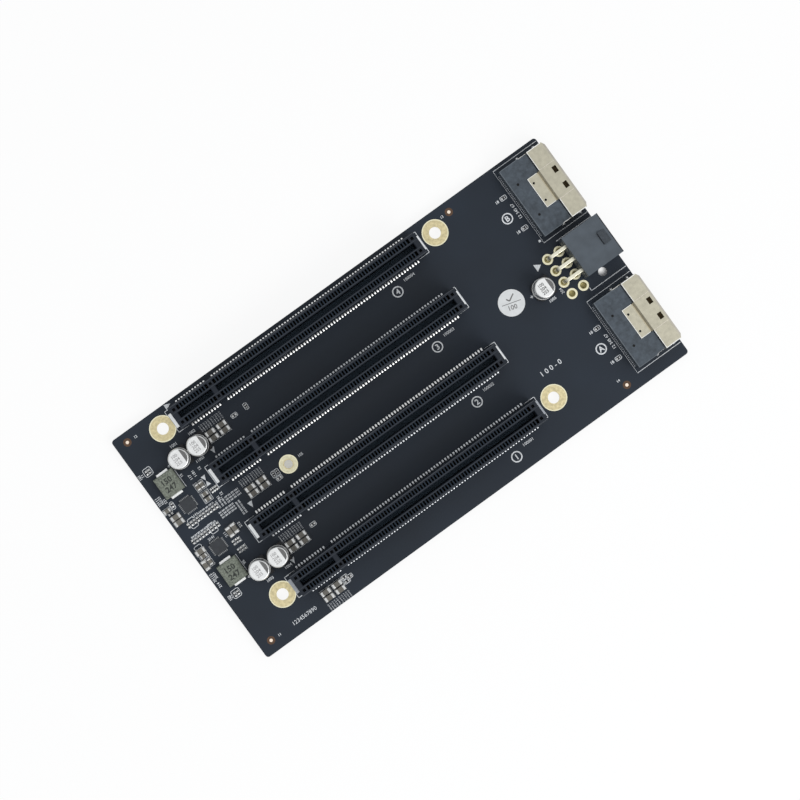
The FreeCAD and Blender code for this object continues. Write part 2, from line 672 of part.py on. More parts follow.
def make_socket_contacts(letter):
    """The rear row of solder tails, under the back edge of the insulator."""
    inner = -size("socket_depth") + size("socket_relief_depth")
    tip = -size("socket_depth") - size("socket_tail_reach")
    width = size("socket_tail_width")
    tails = []
    for index in range(SOCKET_CONTACTS):
        y = (index - (SOCKET_CONTACTS - 1) / 2) * size("socket_tail_pitch") - width / 2
        corners = [FreeCAD.Vector(inner, y, 0), FreeCAD.Vector(tip, y, 0),
                   FreeCAD.Vector(inner, y, size("socket_tail_rise"))]
        tails.append(prism(corners, FreeCAD.Vector(0, width, 0)))
    group(f"cable_socket_{letter}_contacts", tails, "Layout.mouth_x", f"Layout.socket_{letter}_y")


def power_cells():
    """Middle of each cell of the power header, across and up, as expressions."""
    return [(f"{1 - column} * Sizes.power_pitch", f"Layout.{row}_pins_z")
            for row in ("lower", "upper") for column in range(POWER_COLUMNS)]


def make_power_housing():
    """Moulded header: six cells with a pin hole in each back wall, a latch ramp and one board peg."""
    body = new_body("power_header_housing")
    block = new_sketch(body, "power_block", "YZ_Plane")
    add_rectangle(block, "-Sizes.power_width / 2", "Sizes.power_width / 2", "0", "Sizes.power_height")
    add_pad(body, block, "Sizes.power_depth", reverse=True)
    for name, side, depth in (("cells", "Sizes.cell_side", "Sizes.cell_depth"),
                              ("pin_holes", "Sizes.pin_side", None)):
        sketch = new_sketch(body, f"power_{name}", "YZ_Plane")
        for across, up in power_cells():
            add_rectangle(sketch, f"{across} - {side} / 2", f"{across} + {side} / 2",
                          f"{up} - {side} / 2", f"{up} + {side} / 2")
        add_pocket(body, sketch, depth)
    ramp = new_sketch(body, "power_latch", "XZ_Plane")
    front = "-Sizes.latch_to_mouth"
    back = "-Sizes.latch_to_mouth - Sizes.latch_length"
    add_polygon(ramp, [(front, "Sizes.power_height"), (back, "Sizes.power_height + Sizes.latch_height"),
                       (back, "Sizes.power_height")])
    add_pad(body, ramp, "Sizes.latch_width", symmetric=True)
    peg = new_sketch(body, "power_peg", "XY_Plane")
    add_circle(peg, "Layout.peg_x - Layout.mouth_x", "Sizes.power_pitch",
               "Sizes.peg_hole_diameter - 2 * Sizes.peg_clearance")
    add_pad(body, peg, "Sizes.board_thickness", reverse=True)
    place(body, "Layout.mouth_x", "0")


def make_power_pins(row, x_name, z_name):
    """Square pins that leave the back of the header, turn down and pass through the board."""
    half = size("pin_side") / 2
    height = getattr(layout, z_name)
    turn = getattr(layout, x_name) - layout.mouth_x
    tip = -size("pin_to_mouth")
    low = -size("board_thickness") - size("pin_protrusion")
    outline = [(tip, height + half), (turn, height + half), (turn - half, height), (turn - half, low),
               (turn + half, low), (turn + half, height - half), (tip, height - half)]
    pins = []
    for column in range(POWER_COLUMNS):
        y = (1 - column) * size("power_pitch") - half
        corners = [FreeCAD.Vector(x, y, z) for x, z in outline]
        pins.append(prism(corners, FreeCAD.Vector(0, 2 * half, 0)))
    group(f"power_header_{row}_pins", pins, "Layout.mouth_x", "0")


def make_capacitor(number, x, y):
    """Can capacitor: a can drawn in at its crimped foot, a base with two cut corners, and two flat leads."""
    can = new_body(f"capacitor_{number}_can")
    profile = new_sketch(can, f"capacitor_{number}_profile", "XZ_Plane")
    radius = "Sizes.can_diameter / 2"
    top = "Layout.base_top + Sizes.can_height"
    add_polygon(profile, [("0", "Layout.base_top"), (f"{radius} - Sizes.can_crimp_depth", "Layout.base_top"),
                          (radius, "Layout.base_top + Sizes.can_crimp_height"),
                          (radius, f"{top} - Sizes.can_edge"), (f"{radius} - Sizes.can_edge", top),
                          ("0", top)])
    turned = can.newObject("PartDesign::Revolution", f"capacitor_{number}_turned")
    turned.Profile = profile
    turned.ReferenceAxis = (profile, ["V_Axis"])
    turned.Angle = 360
    place(can, x, y)

    base = new_body(f"capacitor_{number}_base")
    plate = new_sketch(base, f"capacitor_{number}_plate", "XY_Plane", "Sizes.lead_thickness")
    half = "Layout.base_side / 2"
    cut = "(Layout.base_side / 2 - Sizes.base_corner)"
    add_polygon(plate, [(half, f"-{half}"), (half, half), (f"-{cut}", half), (f"-{half}", cut),
                        (f"-{half}", f"-{cut}"), (f"-{cut}", f"-{half}")])
    add_pad(base, plate, "Sizes.base_height")
    place(base, x, y)

    outer = layout.base_side / 2 + size("lead_reach")
    leads = []
    for start in (-outer, outer - size("lead_length")):
        corner = FreeCAD.Vector(start, -size("lead_width") / 2, 0)
        leads.append(Part.makeBox(size("lead_length"), size("lead_width"), size("lead_thickness"), corner))
    group(f"capacitor_{number}_leads", leads, x, y)


def make_inductor(number, y):
    """Moulded coil: a block with broken edges, clipped between two folded terminals."""
    body = new_body(f"inductor_{number}_body")
    outline = new_sketch(body, f"inductor_{number}_outline", "XY_Plane", "Sizes.terminal_thickness")
    add_rectangle(outline, "-Sizes.inductor_width / 2", "Sizes.inductor_width / 2",
                  "-Sizes.inductor_length / 2", "Sizes.inductor_length / 2")
    add_pad(body, outline, "Sizes.inductor_height")
    top = size("terminal_thickness") + size("inductor_height")
    dress_edges(body, "Chamfer", f"inductor_{number}_edges", "Sizes.inductor_edge",
                lambda edge: at_height(edge, top))
    place(body, "Layout.inductor_x", y)

    thickness = size("terminal_thickness")
    end = size("inductor_length") / 2
    foot_start = end - size("terminal_foot")
    outline = [(foot_start, 0), (layout.terminal_end, 0), (layout.terminal_end, thickness),
               (end + thickness, thickness), (end + thickness, size("terminal_height")),
               (end, size("terminal_height")), (end, thickness), (foot_start, thickness)]
    clips = []
    for sign in (-1, 1):
        corners = [FreeCAD.Vector(-size("terminal_width") / 2, sign * across, up) for across, up in outline]
        clips.append(prism(corners, FreeCAD.Vector(size("terminal_width"), 0, 0)))
    group(f"inductor_{number}_terminals", clips, "Layout.inductor_x", y)


def make_regulator(number, y):
    """Flat square regulator chip."""
    body = new_body(f"regulator_chip_{number}")
    outline = new_sketch(body, f"regulator_{number}_outline", "XY_Plane")
    half = "Sizes.regulator_side / 2"
    add_rectangle(outline, f"-{half}", half, f"-{half}", half)
    add_pad(body, outline, "Sizes.regulator_height")
    top = size("regulator_height")
    dress_edges(body, "Chamfer", f"regulator_{number}_edges", "Sizes.regulator_edge",
                lambda edge: at_height(edge, top))
    place(body, "Layout.regulator_x", y)


def make_chips(label, places):
    """Chip parts of one circuit: each is a block that lies along X or along Y."""
    blocks = []
    for index, (kind, direction, x, y) in enumerate(places, start=1):
        block = doc.addObject("Part::Box", f"{label}_{index}")
        long_side = f"Sizes.{kind}_chip_length"
        short_side = f"Sizes.{kind}_chip_width"
        along_x, along_y = (long_side, short_side) if direction == "x" else (short_side, long_side)
        bind(block, {"Length": along_x, "Width": along_y, "Height": f"Sizes.{kind}_chip_height"})
        place(block, f"{x} - {along_x} / 2", f"{y} - {along_y} / 2")
        blocks.append(block)
    compound = doc.addObject("Part::Compound", label)
    compound.Links = blocks
    keep(compound, label)


def make_bypass_capacitors(number):
    """Four large chip capacitors beside the slot's short section."""
    offset = "Sizes.edge_bypass_offset" if number == 1 else "Sizes.slot_pitch / 2"
    middle = f"{slot_y(number)} - {offset}"
    places = []
    for along in ("0", "Layout.bypass_step_x"):
        for across in ("-", "+"):
            places.append(("large", "x", f"Layout.bypass_x + {along}",
                           f"{middle} {across} Layout.bypass_step_y / 2"))
    make_chips(f"slot_{number}_bypass_capacitors", places)


def make_chip_parts():
    """Chip capacitors and resistors of the regulators, slots and sockets."""
    for number in range(1, 5):
        make_bypass_capacitors(number)
    for label, chips in REGULATOR_CHIPS.items():
        places = [(kind, direction, f"Layout.left_edge + {x}", f"{y}") for kind, direction, x, y in chips]
        if label in RESISTOR_ROWS:
            start, count, y = RESISTOR_ROWS[label]
            for index in range(count):
                x = f"Layout.left_edge + {start} + {index} * Sizes.resistor_row_pitch"
                places.append(("small", "y", x, f"{y}"))
        make_chips(label, places)
    key = "Layout.first_contact_x + Layout.key_x"
    make_chips("slot_resistors", [
        ("small", direction, f"{key} + {x}", f"{slot_y(number)} - {below}")
        for number, direction, x, below in SLOT_RESISTORS])
    beside_socket = "Layout.mouth_x - Sizes.socket_depth - Sizes.socket_to_resistor"
    offsets = ("+ Sizes.upper_resistor_offset", "- Sizes.lower_resistor_offset")
    make_chips("socket_resistors", [
        ("small", "x", beside_socket, f"Layout.socket_{letter}_y {offset}")
        for letter in ("a", "b") for offset in offsets])


def make_sticker():
    """Round paper dot that marks a tested board."""
    sticker = doc.addObject("Part::Cylinder", "inspection_sticker")
    bind(sticker, {"Radius": "Sizes.sticker_diameter / 2", "Height": "Sizes.sticker_thickness"})
    place(sticker, "Layout.sticker_x", "0")
    keep(sticker, "inspection_sticker")


def make_model():
    fill_sheet()
    make_board()
    for number in range(1, 5):
        make_slot_housing(number)
        make_slot_contacts(number)
        make_slot_hold_downs(number)
    for letter in ("a", "b"):
        make_socket_housing(letter)
        make_socket_shell(letter)
        make_socket_contacts(letter)
    make_power_housing()
    make_power_pins("lower", "front_pins_x", "lower_pins_z")
    make_power_pins("upper", "rear_pins_x", "upper_pins_z")
    make_capacitor(1, "Layout.far_capacitor_x", "Sizes.slot_pitch")
    make_capacitor(2, "Layout.near_capacitor_x", "Sizes.slot_pitch")
    make_capacitor(3, "Layout.far_capacitor_x", "-Sizes.slot_pitch")
    make_capacitor(4, "Layout.near_capacitor_x", "-Sizes.slot_pitch")
    make_capacitor(5, "Layout.power_capacitor_x", "Layout.footprint_y")
    for number, sign in ((1, ""), (2, "-")):
        make_inductor(number, f"{sign}Sizes.inductor_offset")
        make_regulator(number, f"{sign}Layout.regulator_y")
    make_chip_parts()
    make_sticker()
    doc.recompute()


def check_and_write():
    """Writes the pieces once every object of the document is sound."""
    for thing in doc.Objects:
        if "Invalid" in thing.State or "Error" in thing.State:
            raise RuntimeError(f"{thing.Name} failed: {thing.State}")
    for piece in pieces:
        if piece.Shape.isNull() or not piece.Shape.isValid():
            raise RuntimeError(f"{piece.Label} has no sound shape")
    os.makedirs("parts", exist_ok=True)
    for piece in pieces:
        piece.Shape.exportStep(f"parts/{piece.Label}.step")
    print(f"{len(pieces)} pieces written")


make_model()
check_and_write()
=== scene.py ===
# %% [markdown]
# # A slot adapter board in the studio
# The board takes four expansion cards and passes their lanes on to two cable sockets at its right edge. The
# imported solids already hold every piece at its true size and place. This script gives them their finishes,
# and adds what is too fine for a solid model: soldered contact tails, plated rings, white print and contact
# springs. All sizes are in millimetres until a piece is made, because that is how such a board is drawn.

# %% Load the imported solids
import json
import math
from collections import namedtuple

import bmesh
import bpy
from mathutils import Matrix, Vector


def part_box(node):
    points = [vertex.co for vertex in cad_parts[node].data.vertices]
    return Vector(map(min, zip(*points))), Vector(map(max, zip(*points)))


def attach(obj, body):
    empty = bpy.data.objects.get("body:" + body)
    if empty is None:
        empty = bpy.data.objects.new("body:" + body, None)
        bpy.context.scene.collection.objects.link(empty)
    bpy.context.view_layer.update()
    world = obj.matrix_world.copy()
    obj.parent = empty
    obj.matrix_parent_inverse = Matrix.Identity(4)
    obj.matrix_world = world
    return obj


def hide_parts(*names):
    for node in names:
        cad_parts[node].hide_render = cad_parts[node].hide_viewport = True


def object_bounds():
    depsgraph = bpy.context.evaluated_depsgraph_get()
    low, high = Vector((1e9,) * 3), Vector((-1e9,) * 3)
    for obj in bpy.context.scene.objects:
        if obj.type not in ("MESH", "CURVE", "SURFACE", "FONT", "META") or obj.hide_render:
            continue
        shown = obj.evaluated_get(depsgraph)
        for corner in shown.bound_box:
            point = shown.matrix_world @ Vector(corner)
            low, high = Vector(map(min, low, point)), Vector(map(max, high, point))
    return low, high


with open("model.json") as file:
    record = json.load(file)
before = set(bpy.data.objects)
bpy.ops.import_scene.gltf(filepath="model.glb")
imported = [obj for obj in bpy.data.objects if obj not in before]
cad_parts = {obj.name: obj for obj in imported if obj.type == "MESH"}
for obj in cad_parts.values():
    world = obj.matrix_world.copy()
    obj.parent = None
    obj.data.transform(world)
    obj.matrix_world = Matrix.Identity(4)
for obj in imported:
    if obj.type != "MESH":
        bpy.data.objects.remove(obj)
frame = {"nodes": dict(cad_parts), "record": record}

MM = 0.001
Corner = namedtuple("Corner", "x y z")
solid_low, solid_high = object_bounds()
parts = frame["nodes"]
scene = bpy.context.scene
collection = scene.collection


def corners(node):
    """Lowest and highest corner of a node."""
    return [Corner(*(value / MM for value in corner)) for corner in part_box(node)]


def middle_of(node):
    """Middle of a node, seen from above."""
    low, high = corners(node)
    return (low.x + high.x) / 2, (low.y + high.y) / 2


def set_all(item, **settings):
    """Sets several settings of an item at once."""
    for key, value in settings.items():
        setattr(item, key, value)


def place(name, data):
    """Puts a mesh, a lamp, a camera or a word into the scene."""
    item = bpy.data.objects.new(name, data)
    collection.objects.link(item)
    return item


print("solids loaded:", len(parts), "box in mm:", [round(v / MM, 2) for v in (*solid_low, *solid_high)])

# %% [markdown]
# Every small shape is one of a few kinds: a straight block on an outline, or a turned ring, disc or cone.
# Blender's own cube and cylinder tools would need one object each. Collecting points and faces in a list is
# quicker, and hundreds of printed strokes then become one piece.

# %% Stock for small shapes
SHARP, FILM = 0.6, 0.012


def work_on(*meshes):
    """One or more meshes, open for work on their points, edges and faces."""
    work = bmesh.new()
    for mesh in meshes:
        work.from_mesh(mesh)
    return work


def write_back(work, mesh):
    """Writes the work into a mesh."""
    work.to_mesh(mesh)
    work.free()
    return mesh


class Stock:
    """Points in millimetres and faces, collected until they become one piece."""

    def __init__(self):
        self.points = []
        self.faces = []

    def add(self, points, faces):
        start = len(self.points)
        self.points.extend(points)
        self.faces.extend([start + index for index in face] for face in faces)

    def loft(self, lower, upper):
        """A block between two outlines that have the same count of points."""
        count = len(lower)
        sides = [[i, (i + 1) % count, count + (i + 1) % count, count + i] for i in range(count)]
        self.add([*lower, *upper], [list(range(count)), list(range(count, 2 * count)), *sides])

    def prism(self, outline, offset):
        """A straight block: a flat outline of points, pushed along an offset."""
        self.loft(outline, [tuple(a + b for a, b in zip(point, offset)) for point in outline])

    def slab(self, outline, low, high):
        """An upright block on an outline seen from above."""
        self.prism([(x, y, low) for x, y in outline], (0, 0, high - low))

    def box(self, start, stop):
        """A block between two opposite corners, in any order."""
        (x0, x1), (y0, y1), (z0, z1) = [sorted(pair) for pair in zip(start, stop)]
        self.slab([(x0, y0), (x1, y0), (x1, y1), (x0, y1)], z0, z1)

    def film(self, x0, y0, x1, y1, level):
        """A thin layer that lies on a surface."""
        self.box((x0, y0, level), (x1, y1, level + FILM))

    def bar(self, side, half, y=0.0):
        """A block on an outline seen from the side, along Y about a middle."""
        self.prism([(x, y - half, z) for x, z in side], (0, 2 * half, 0))

    def cross_bar(self, side, half):
        """The same along X about the origin, from an outline of (y, z) pairs."""
        self.prism([(-half, y, z) for y, z in side], (2 * half, 0, 0))

    def mound(self, lower, upper, low, high):
        """A low block whose top outline is smaller than its foot, such as a blob of solder."""
        self.loft([(x, y, low) for x, y in lower], [(x, y, high) for x, y in upper])

    def turned(self, x, y, profile, sides=32, closed=False):
        """A shape turned about an upright line from (radius, height) pairs; a closed profile makes a ring."""
        circles = []
        for radius, z in profile:
            start = len(self.points)
            for k in range(sides if radius > 0 else 1):
                angle = 2 * math.pi * k / sides
                self.points.append((x + radius * math.cos(angle), y + radius * math.sin(angle), z))
            circles.append(list(range(start, start + sides)) if radius > 0 else [start] * sides)
        for lower, upper in zip(circles, circles[1:] + circles[:1] if closed else circles[1:]):
            for k in range(sides):
                n = (k + 1) % sides
                face = list(dict.fromkeys([lower[k], lower[n], upper[n], upper[k]]))
                if len(face) > 2:
                    self.faces.append(face)

    def ring(self, x, y, inner, outer, low, high, sides=48):
        self.turned(x, y, [(inner, low), (outer, low), (outer, high), (inner, high)], sides, closed=True)

    def disc(self, x, y, radius, low, high):
        self.turned(x, y, [(0, low), (radius, low), (radius, high), (0, high)], 16)

    def mesh(self, name, rounding=0.0):
        """A Blender mesh in metres, faces outwards, with its edges rounded if asked."""
        mesh = bpy.data.meshes.new(name)
        mesh.from_pydata([(x * MM, y * MM, z * MM) for x, y, z in self.points], [], self.faces)
        work = work_on(mesh)
        bmesh.ops.recalc_face_normals(work, faces=work.faces)
        if rounding:
            sharp = [e for e in work.edges if len(e.link_faces) == 2 and e.calc_face_angle() > SHARP]
            bmesh.ops.bevel(work, geom=sharp, offset=rounding * MM, segments=2, profile=0.6, affect="EDGES")
        return write_back(work, mesh)


def make_piece(name, shape, finish_name, stands_for=(), rounding=0.0):
    """Links a stock or a finished mesh as a piece of the board."""
    mesh = shape.mesh(name, rounding) if isinstance(shape, Stock) else shape
    piece = place(name, mesh)
    mesh.materials.clear()
    mesh.materials.append(FINISHES[finish_name])
    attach(piece, "root")
    if stands_for:
        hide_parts(*stands_for)
    print(name, "faces:", len(mesh.polygons))


# %% [markdown]
# A real finish is never one flat colour. Moulded plastic has a fine grain, plated sheet has soft patches,
# and solder mask has a slight orange peel. One recipe covers them: a slow noise for patches of tone and
# gloss, and a fast noise for the grain. Both read Object coordinates, so they keep their scale on every
# piece.

# %% Recipe for a finish
FINISHES = {}
WEAR = 0.08


def feed(tree, node, inputs):
    """Sets inputs by name or place, each to a value or to the output that feeds it."""
    for key, value in inputs.items():
        if isinstance(value, bpy.types.NodeSocket):
            tree.links.new(value, node.inputs[key])
        else:
            node.inputs[key].default_value = value


def add_node(tree, kind, inputs=None, **settings):
    """Adds a node with its settings and inputs."""
    node = tree.nodes.new(kind)
    set_all(node, **settings)
    feed(tree, node, inputs or {})
    return node


def add_math(tree, operation, *inputs):
    """Adds a calculation on up to three values or outputs, and gives its result."""
    return add_node(tree, "ShaderNodeMath", dict(enumerate(inputs)), operation=operation).outputs["Value"]


def add_noise(tree, where, size, detail):
    """Adds a noise whose patches are about as large as a size, and gives its result."""
    inputs = {"Scale": 1 / (size * MM), "Detail": detail, "Vector": where}
    return add_node(tree, "ShaderNodeTexNoise", inputs).outputs["Fac"]


def finish(name, colour, roughness, metal=0.0, gloss=0.5, patch=4.0, shade=0.1, grain=0.15, depth=0.0):
    """Patch and grain are sizes in millimetres, shade is the change of tone, depth the grain's height."""
    material = bpy.data.materials.new(name)
    material.use_nodes = True
    tree = material.node_tree
    where = add_node(tree, "ShaderNodeTexCoord").outputs["Object"]
    patches = add_noise(tree, where, patch, 5)
    tone = add_node(tree, "ShaderNodeValToRGB", {"Fac": patches})
    for mark, position, change in zip(tone.color_ramp.elements, (0.3, 0.7), (1 - shade, 1 + shade)):
        mark.position = position
        mark.color = [min(1, part * change) for part in colour] + [1]
    wear = {"Value": patches, "To Min": max(0.05, roughness - WEAR), "To Max": min(1.0, roughness + WEAR)}
    worn = add_node(tree, "ShaderNodeMapRange", wear).outputs["Result"]
    surface = {"Metallic": metal, "Specular IOR Level": gloss, "Base Color": tone.outputs["Color"],
               "Roughness": worn}
    if depth:
        bumps = {"Strength": 1, "Distance": depth * MM, "Height": add_noise(tree, where, grain, 3)}
        surface["Normal"] = add_node(tree, "ShaderNodeBump", bumps).outputs["Normal"]
    feed(tree, tree.nodes["Principled BSDF"], surface)
    FINISHES[name] = material


# %% [markdown]
# The colours are linear values, set by comparing the render's tones with the photograph's. Black solder mask
# and black plastic are very dark, with a slight blue. Part of the grey that they show is the studio light in
# their gloss, so their gloss is set low. Tin, gold and nickel are true metals: all their colour is
# reflection.

# %% Finishes of this board
GREY_INK = (0.3, 0.5, 0.15)
# Plastics, paper and inks: name, colour, roughness, gloss, patch, shade, and grain and depth where they show
for name, colour, roughness, *rest in (
        ("solder_mask", (0.0125, 0.0195, 0.0310), 0.5, 0.28, 25, 0.16, 0.3, 0.0012),
        ("slot_plastic", (0.0118, 0.0162, 0.0246), 0.5, 0.25, 6, 0.1, 0.12, 0.002),
        # Painted light: a paler, bluer tone for the deep floor of each card slot
        ("slot_floor_plastic", (0.036, 0.064, 0.095), 0.5, 0.25, 3, 0.1),
        ("window_plastic", (0.011, 0.019, 0.030), 0.6, 0.2, 3, 0.2),
        ("socket_plastic", (0.064, 0.079, 0.096), 0.55, 0.3, 1.3, 0.29, 0.15, 0.002),
        # Painted highlight: a paler plastic for the cable sockets' top edges
        ("moulded_edge", (0.12, 0.14, 0.16), 0.5, 0.35, 1.0, 0.25),
        ("header_plastic", (0.080, 0.096, 0.114), 0.5, 0.3, 4, 0.16, 0.15, 0.002),
        ("shaded_plastic", (0.057, 0.066, 0.077), 0.55, 0.25, 1.0, 0.15),
        # Painted shade: darker plastic behind the header's ramp and along its mouth's edge
        ("edge_plastic", (0.020, 0.023, 0.028), 0.55, 0.25, 1.0, 0.2),
        ("base_plastic", (0.012, 0.012, 0.014), 0.5, 0.35, 2, 0.1, 0.1, 0.001),
        ("coil_block", (0.182, 0.200, 0.165), 0.7, 0.25, 0.5, 0.45, 0.12, 0.008),
        ("chip_plastic", (0.040, 0.044, 0.050), 0.6, 0.3, 1.0, 0.15, 0.06, 0.001),
        ("resistor_body", (0.020, 0.020, 0.023), 0.4, 0.4, 0.5, 0.2),
        ("chip_ceramic", (0.160, 0.150, 0.130), 0.5, 0.3, 0.6, 0.2, 0.06, 0.001),
        ("bare_laminate", (0.10, 0.052, 0.028), 0.5, 0.3, 0.5, 0.25),
        # Painted shade: near black discs in the shells' pits and eyes
        ("deep_hollow", (0.006, 0.006, 0.006), 0.6, 0.2, 0.5, 0.3),
        ("sticker_paper", (0.73, 0.745, 0.75), 0.6, 0.2, 2, 0.05),
        ("white_print", (0.74, 0.76, 0.78), 0.6, 0.2, 0.5, 0.18),
        ("grey_print", (0.19, 0.187, 0.187), 0.55, *GREY_INK),
        ("segment_print", (0.155, 0.153, 0.151), 0.55, *GREY_INK),
        ("faint_print", (0.40, 0.395, 0.395), 0.55, *GREY_INK),
        ("dark_print", (0.045, 0.050, 0.045), 0.6, 0.2, 0.4, 0.2)):
    finish(name, colour, roughness, 0.0, *rest)
# Metals: name, colour, roughness, patch, shade, and grain and depth where they show
for name, colour, roughness, *rest in (
        ("tinned_contact", (0.87, 0.87, 0.855), 0.36, 1.2, 0.06),
        # Painted shade: a darker copy of the tin for the contact rows that come out darker
        ("dull_contact", (0.55, 0.565, 0.58), 0.4, 1.2, 0.08),
        ("bright_tin", (0.80, 0.81, 0.81), 0.3, 0.8, 0.08, 0.2, 0.002),
        # Dull tin; on the clips' rolled edges it is painted shade
        ("dull_tin", (0.40, 0.42, 0.45), 0.45, 0.5, 0.15),
        ("pad_tin", (0.30, 0.305, 0.31), 0.45, 0.5, 0.15),
        ("pin_tin", (0.78, 0.75, 0.61), 0.33, 0.8, 0.07),
        ("end_cap_tin", (0.61, 0.61, 0.60), 0.42, 0.4, 0.2, 0.1, 0.003),
        ("shell_metal", (0.51, 0.48, 0.378), 0.42, 1.2, 0.085, 0.1, 0.0015),
        # Painted highlight: a bright metal for strips along the shells' cut edges
        ("cut_edge", (0.92, 0.91, 0.87), 0.35, 0.6, 0.08),
        # Painted shade: a darker, browner metal on the shells' bends
        ("bend_metal", (0.47, 0.42, 0.30), 0.5, 1.0, 0.1),
        ("lip_metal", (0.47, 0.44, 0.38), 0.45, 2.0, 0.08),
        ("seam_metal", (0.72, 0.66, 0.57), 0.45, 1.0, 0.1),
        # Painted shade: near black for the springs seen through the shells' windows
        ("spring_bronze", (0.030, 0.022, 0.012), 0.5, 0.4, 0.4),
        ("shaded_spring", (0.060, 0.050, 0.034), 0.5, 1.0, 0.2),
        ("gold_plate", (0.67, 0.58, 0.345), 0.35, 0.8, 0.2, 0.12, 0.002),
        ("support_gold", (0.74, 0.69, 0.48), 0.35, 0.8, 0.18),
        ("pale_gold", (0.86, 0.81, 0.58), 0.3, 1.0, 0.05),
        # Painted shade: a dark gold for the insides of the header's plated holes
        ("dull_gold", (0.31, 0.265, 0.117), 0.5, 0.5, 0.25),
        ("contact_gold", (0.42, 0.33, 0.16), 0.4, 1.0, 0.15),
        ("bare_copper", (0.95, 0.80, 0.66), 0.35, 0.5, 0.06)):
    finish(name, colour, roughness, 1.0, 0.5, *rest)
# Drawn aluminium has a dull skin of oxide, so it is a little less than a full metal
finish("can_aluminium", (0.81, 0.81, 0.80), 0.4, metal=0.9, patch=0.6, shade=0.06, grain=0.08, depth=0.001)

FIRST_SLOT, SLOT_SPACING, RAIL_LEVEL, LINE_HALF = -30.48, 20.32, 12.5, 0.1


def add_pale_lines(tree, colour, distance):
    """Painted highlights: pale lines on the rails' tops, at a distance on both sides of every slot's middle
    line.
    """
    shader = tree.nodes["Principled BSDF"]
    where = add_node(tree, "ShaderNodeTexCoord").outputs["Object"]
    split = add_node(tree, "ShaderNodeSeparateXYZ", {"Vector": where}).outputs
    from_first = add_math(tree, "SUBTRACT", split["Y"], FIRST_SLOT * MM)
    from_middle = add_math(tree, "PINGPONG", from_first, SLOT_SPACING / 2 * MM)
    on_line = add_math(tree, "COMPARE", from_middle, distance * MM, LINE_HALF * MM)
    on_top = add_math(tree, "GREATER_THAN", split["Z"], RAIL_LEVEL * MM)
    tones = {"Factor": add_math(tree, "MULTIPLY", on_line, on_top), "B": (*colour, 1),
             "A": shader.inputs["Base Color"].links[0].from_socket}
    painted = add_node(tree, "ShaderNodeMix", tones, data_type="RGBA")
    feed(tree, shader, {"Base Color": painted.outputs["Result"]})


# Painted highlights: the slots' moulded rails are drawn paler along their edges, where the edges catch the
# light, most of all on the outside
for colour, distance in (((0.030, 0.0365, 0.047), 1.25), ((0.055, 0.062, 0.073), 3.4)):
    add_pale_lines(FINISHES["slot_plastic"].node_tree, colour, distance)

# A node takes the finish that is named like its slot, except these
OTHER_FINISHES = {"circuit_board": "solder_mask", "inductor_1_terminals": "tinned_contact",
                  "inductor_2_terminals": "tinned_contact", "slot_1_hold_downs": "dull_tin"}
for row in frame["record"]["subparts"]:
    node = row["node"]
    for holder in parts[node].material_slots:
        holder.material = FINISHES[OTHER_FINISHES.get(node, row["material_slot"])]
print("finishes:", len(FINISHES))

# %% [markdown]
# The photograph looks almost straight down, from about two thirds of a metre, through a long lens. The board
# lies turned by about 36 degrees in the picture. The three turns below were found by matching the mounting
# holes, the board's corners and the slots' contacts with their places in the photograph.

# %% Camera
camera_data = bpy.data.cameras.new("overhead_camera")
set_all(camera_data, sensor_width=36, lens=101.42, clip_start=0.01, clip_end=20)
camera = place("overhead_camera", camera_data)
stand = Matrix.Translation(Vector((-14.167, 6.283, 675.684)) * MM)
for degrees, axis in ((-0.87515571, "X"), (-2.24325979, "Y"), (-35.86136344, "Z")):
    stand = stand @ Matrix.Rotation(math.radians(degrees), 4, axis)
camera.matrix_world = stand
scene.camera = camera
scene.view_settings.view_transform = "Standard"
print("camera height in mm:", round(camera.location.z / MM, 1))

# %% [markdown]
# A light tent gives the flat, even light of a catalogue picture: a dome that is brightest overhead and dims
# towards its rim, so that flat metal shines and upright walls stay dark. One large soft box on the -Y side
# shades the far side of every slot, as in the photograph. The floor is white paper. To the camera and in
# reflections most of its white is a glow of its own, so that it comes out white without more light on the
# board; the rest is real light and shadow. Under the board's two small open holes the paper lies in shade, so
# it glows less.

# %% Light and floor
world = bpy.data.worlds.new("light_tent")
scene.world = world
world.use_nodes = True
tent = world.node_tree
direction = add_node(tent, "ShaderNodeTexCoord").outputs["Generated"]
upwards = add_node(tent, "ShaderNodeSeparateXYZ", {"Vector": direction}).outputs["Z"]
brightness = add_node(tent, "ShaderNodeMapRange", {"To Min": 0.15, "To Max": 1.0, "Value": upwards})
dome = tent.nodes["Background"]
feed(tent, dome, {"Color": (0.96, 0.98, 1.0, 1), "Strength": brightness.outputs["Result"]})
backdrop = add_node(tent, "ShaderNodeBackground", {"Strength": 1.0})
seen = add_node(tent, "ShaderNodeLightPath").outputs["Is Camera Ray"]
skies = {"Fac": seen, 1: dome.outputs["Background"], 2: backdrop.outputs["Background"]}
sky = add_node(tent, "ShaderNodeMixShader", skies).outputs["Shader"]
feed(tent, tent.nodes["World Output"], {"Surface": sky})

soft_box = bpy.data.lights.new("soft_box", "AREA")
set_all(soft_box, shape="RECTANGLE", size=0.5, size_y=0.35, energy=1.9)
lamp = place("soft_box", soft_box)
lamp.location = (0.14, -0.46, 0.52)
lamp.rotation_euler = (Vector((0, 0, 0)) - lamp.location).to_track_quat("-Z", "Y").to_euler()

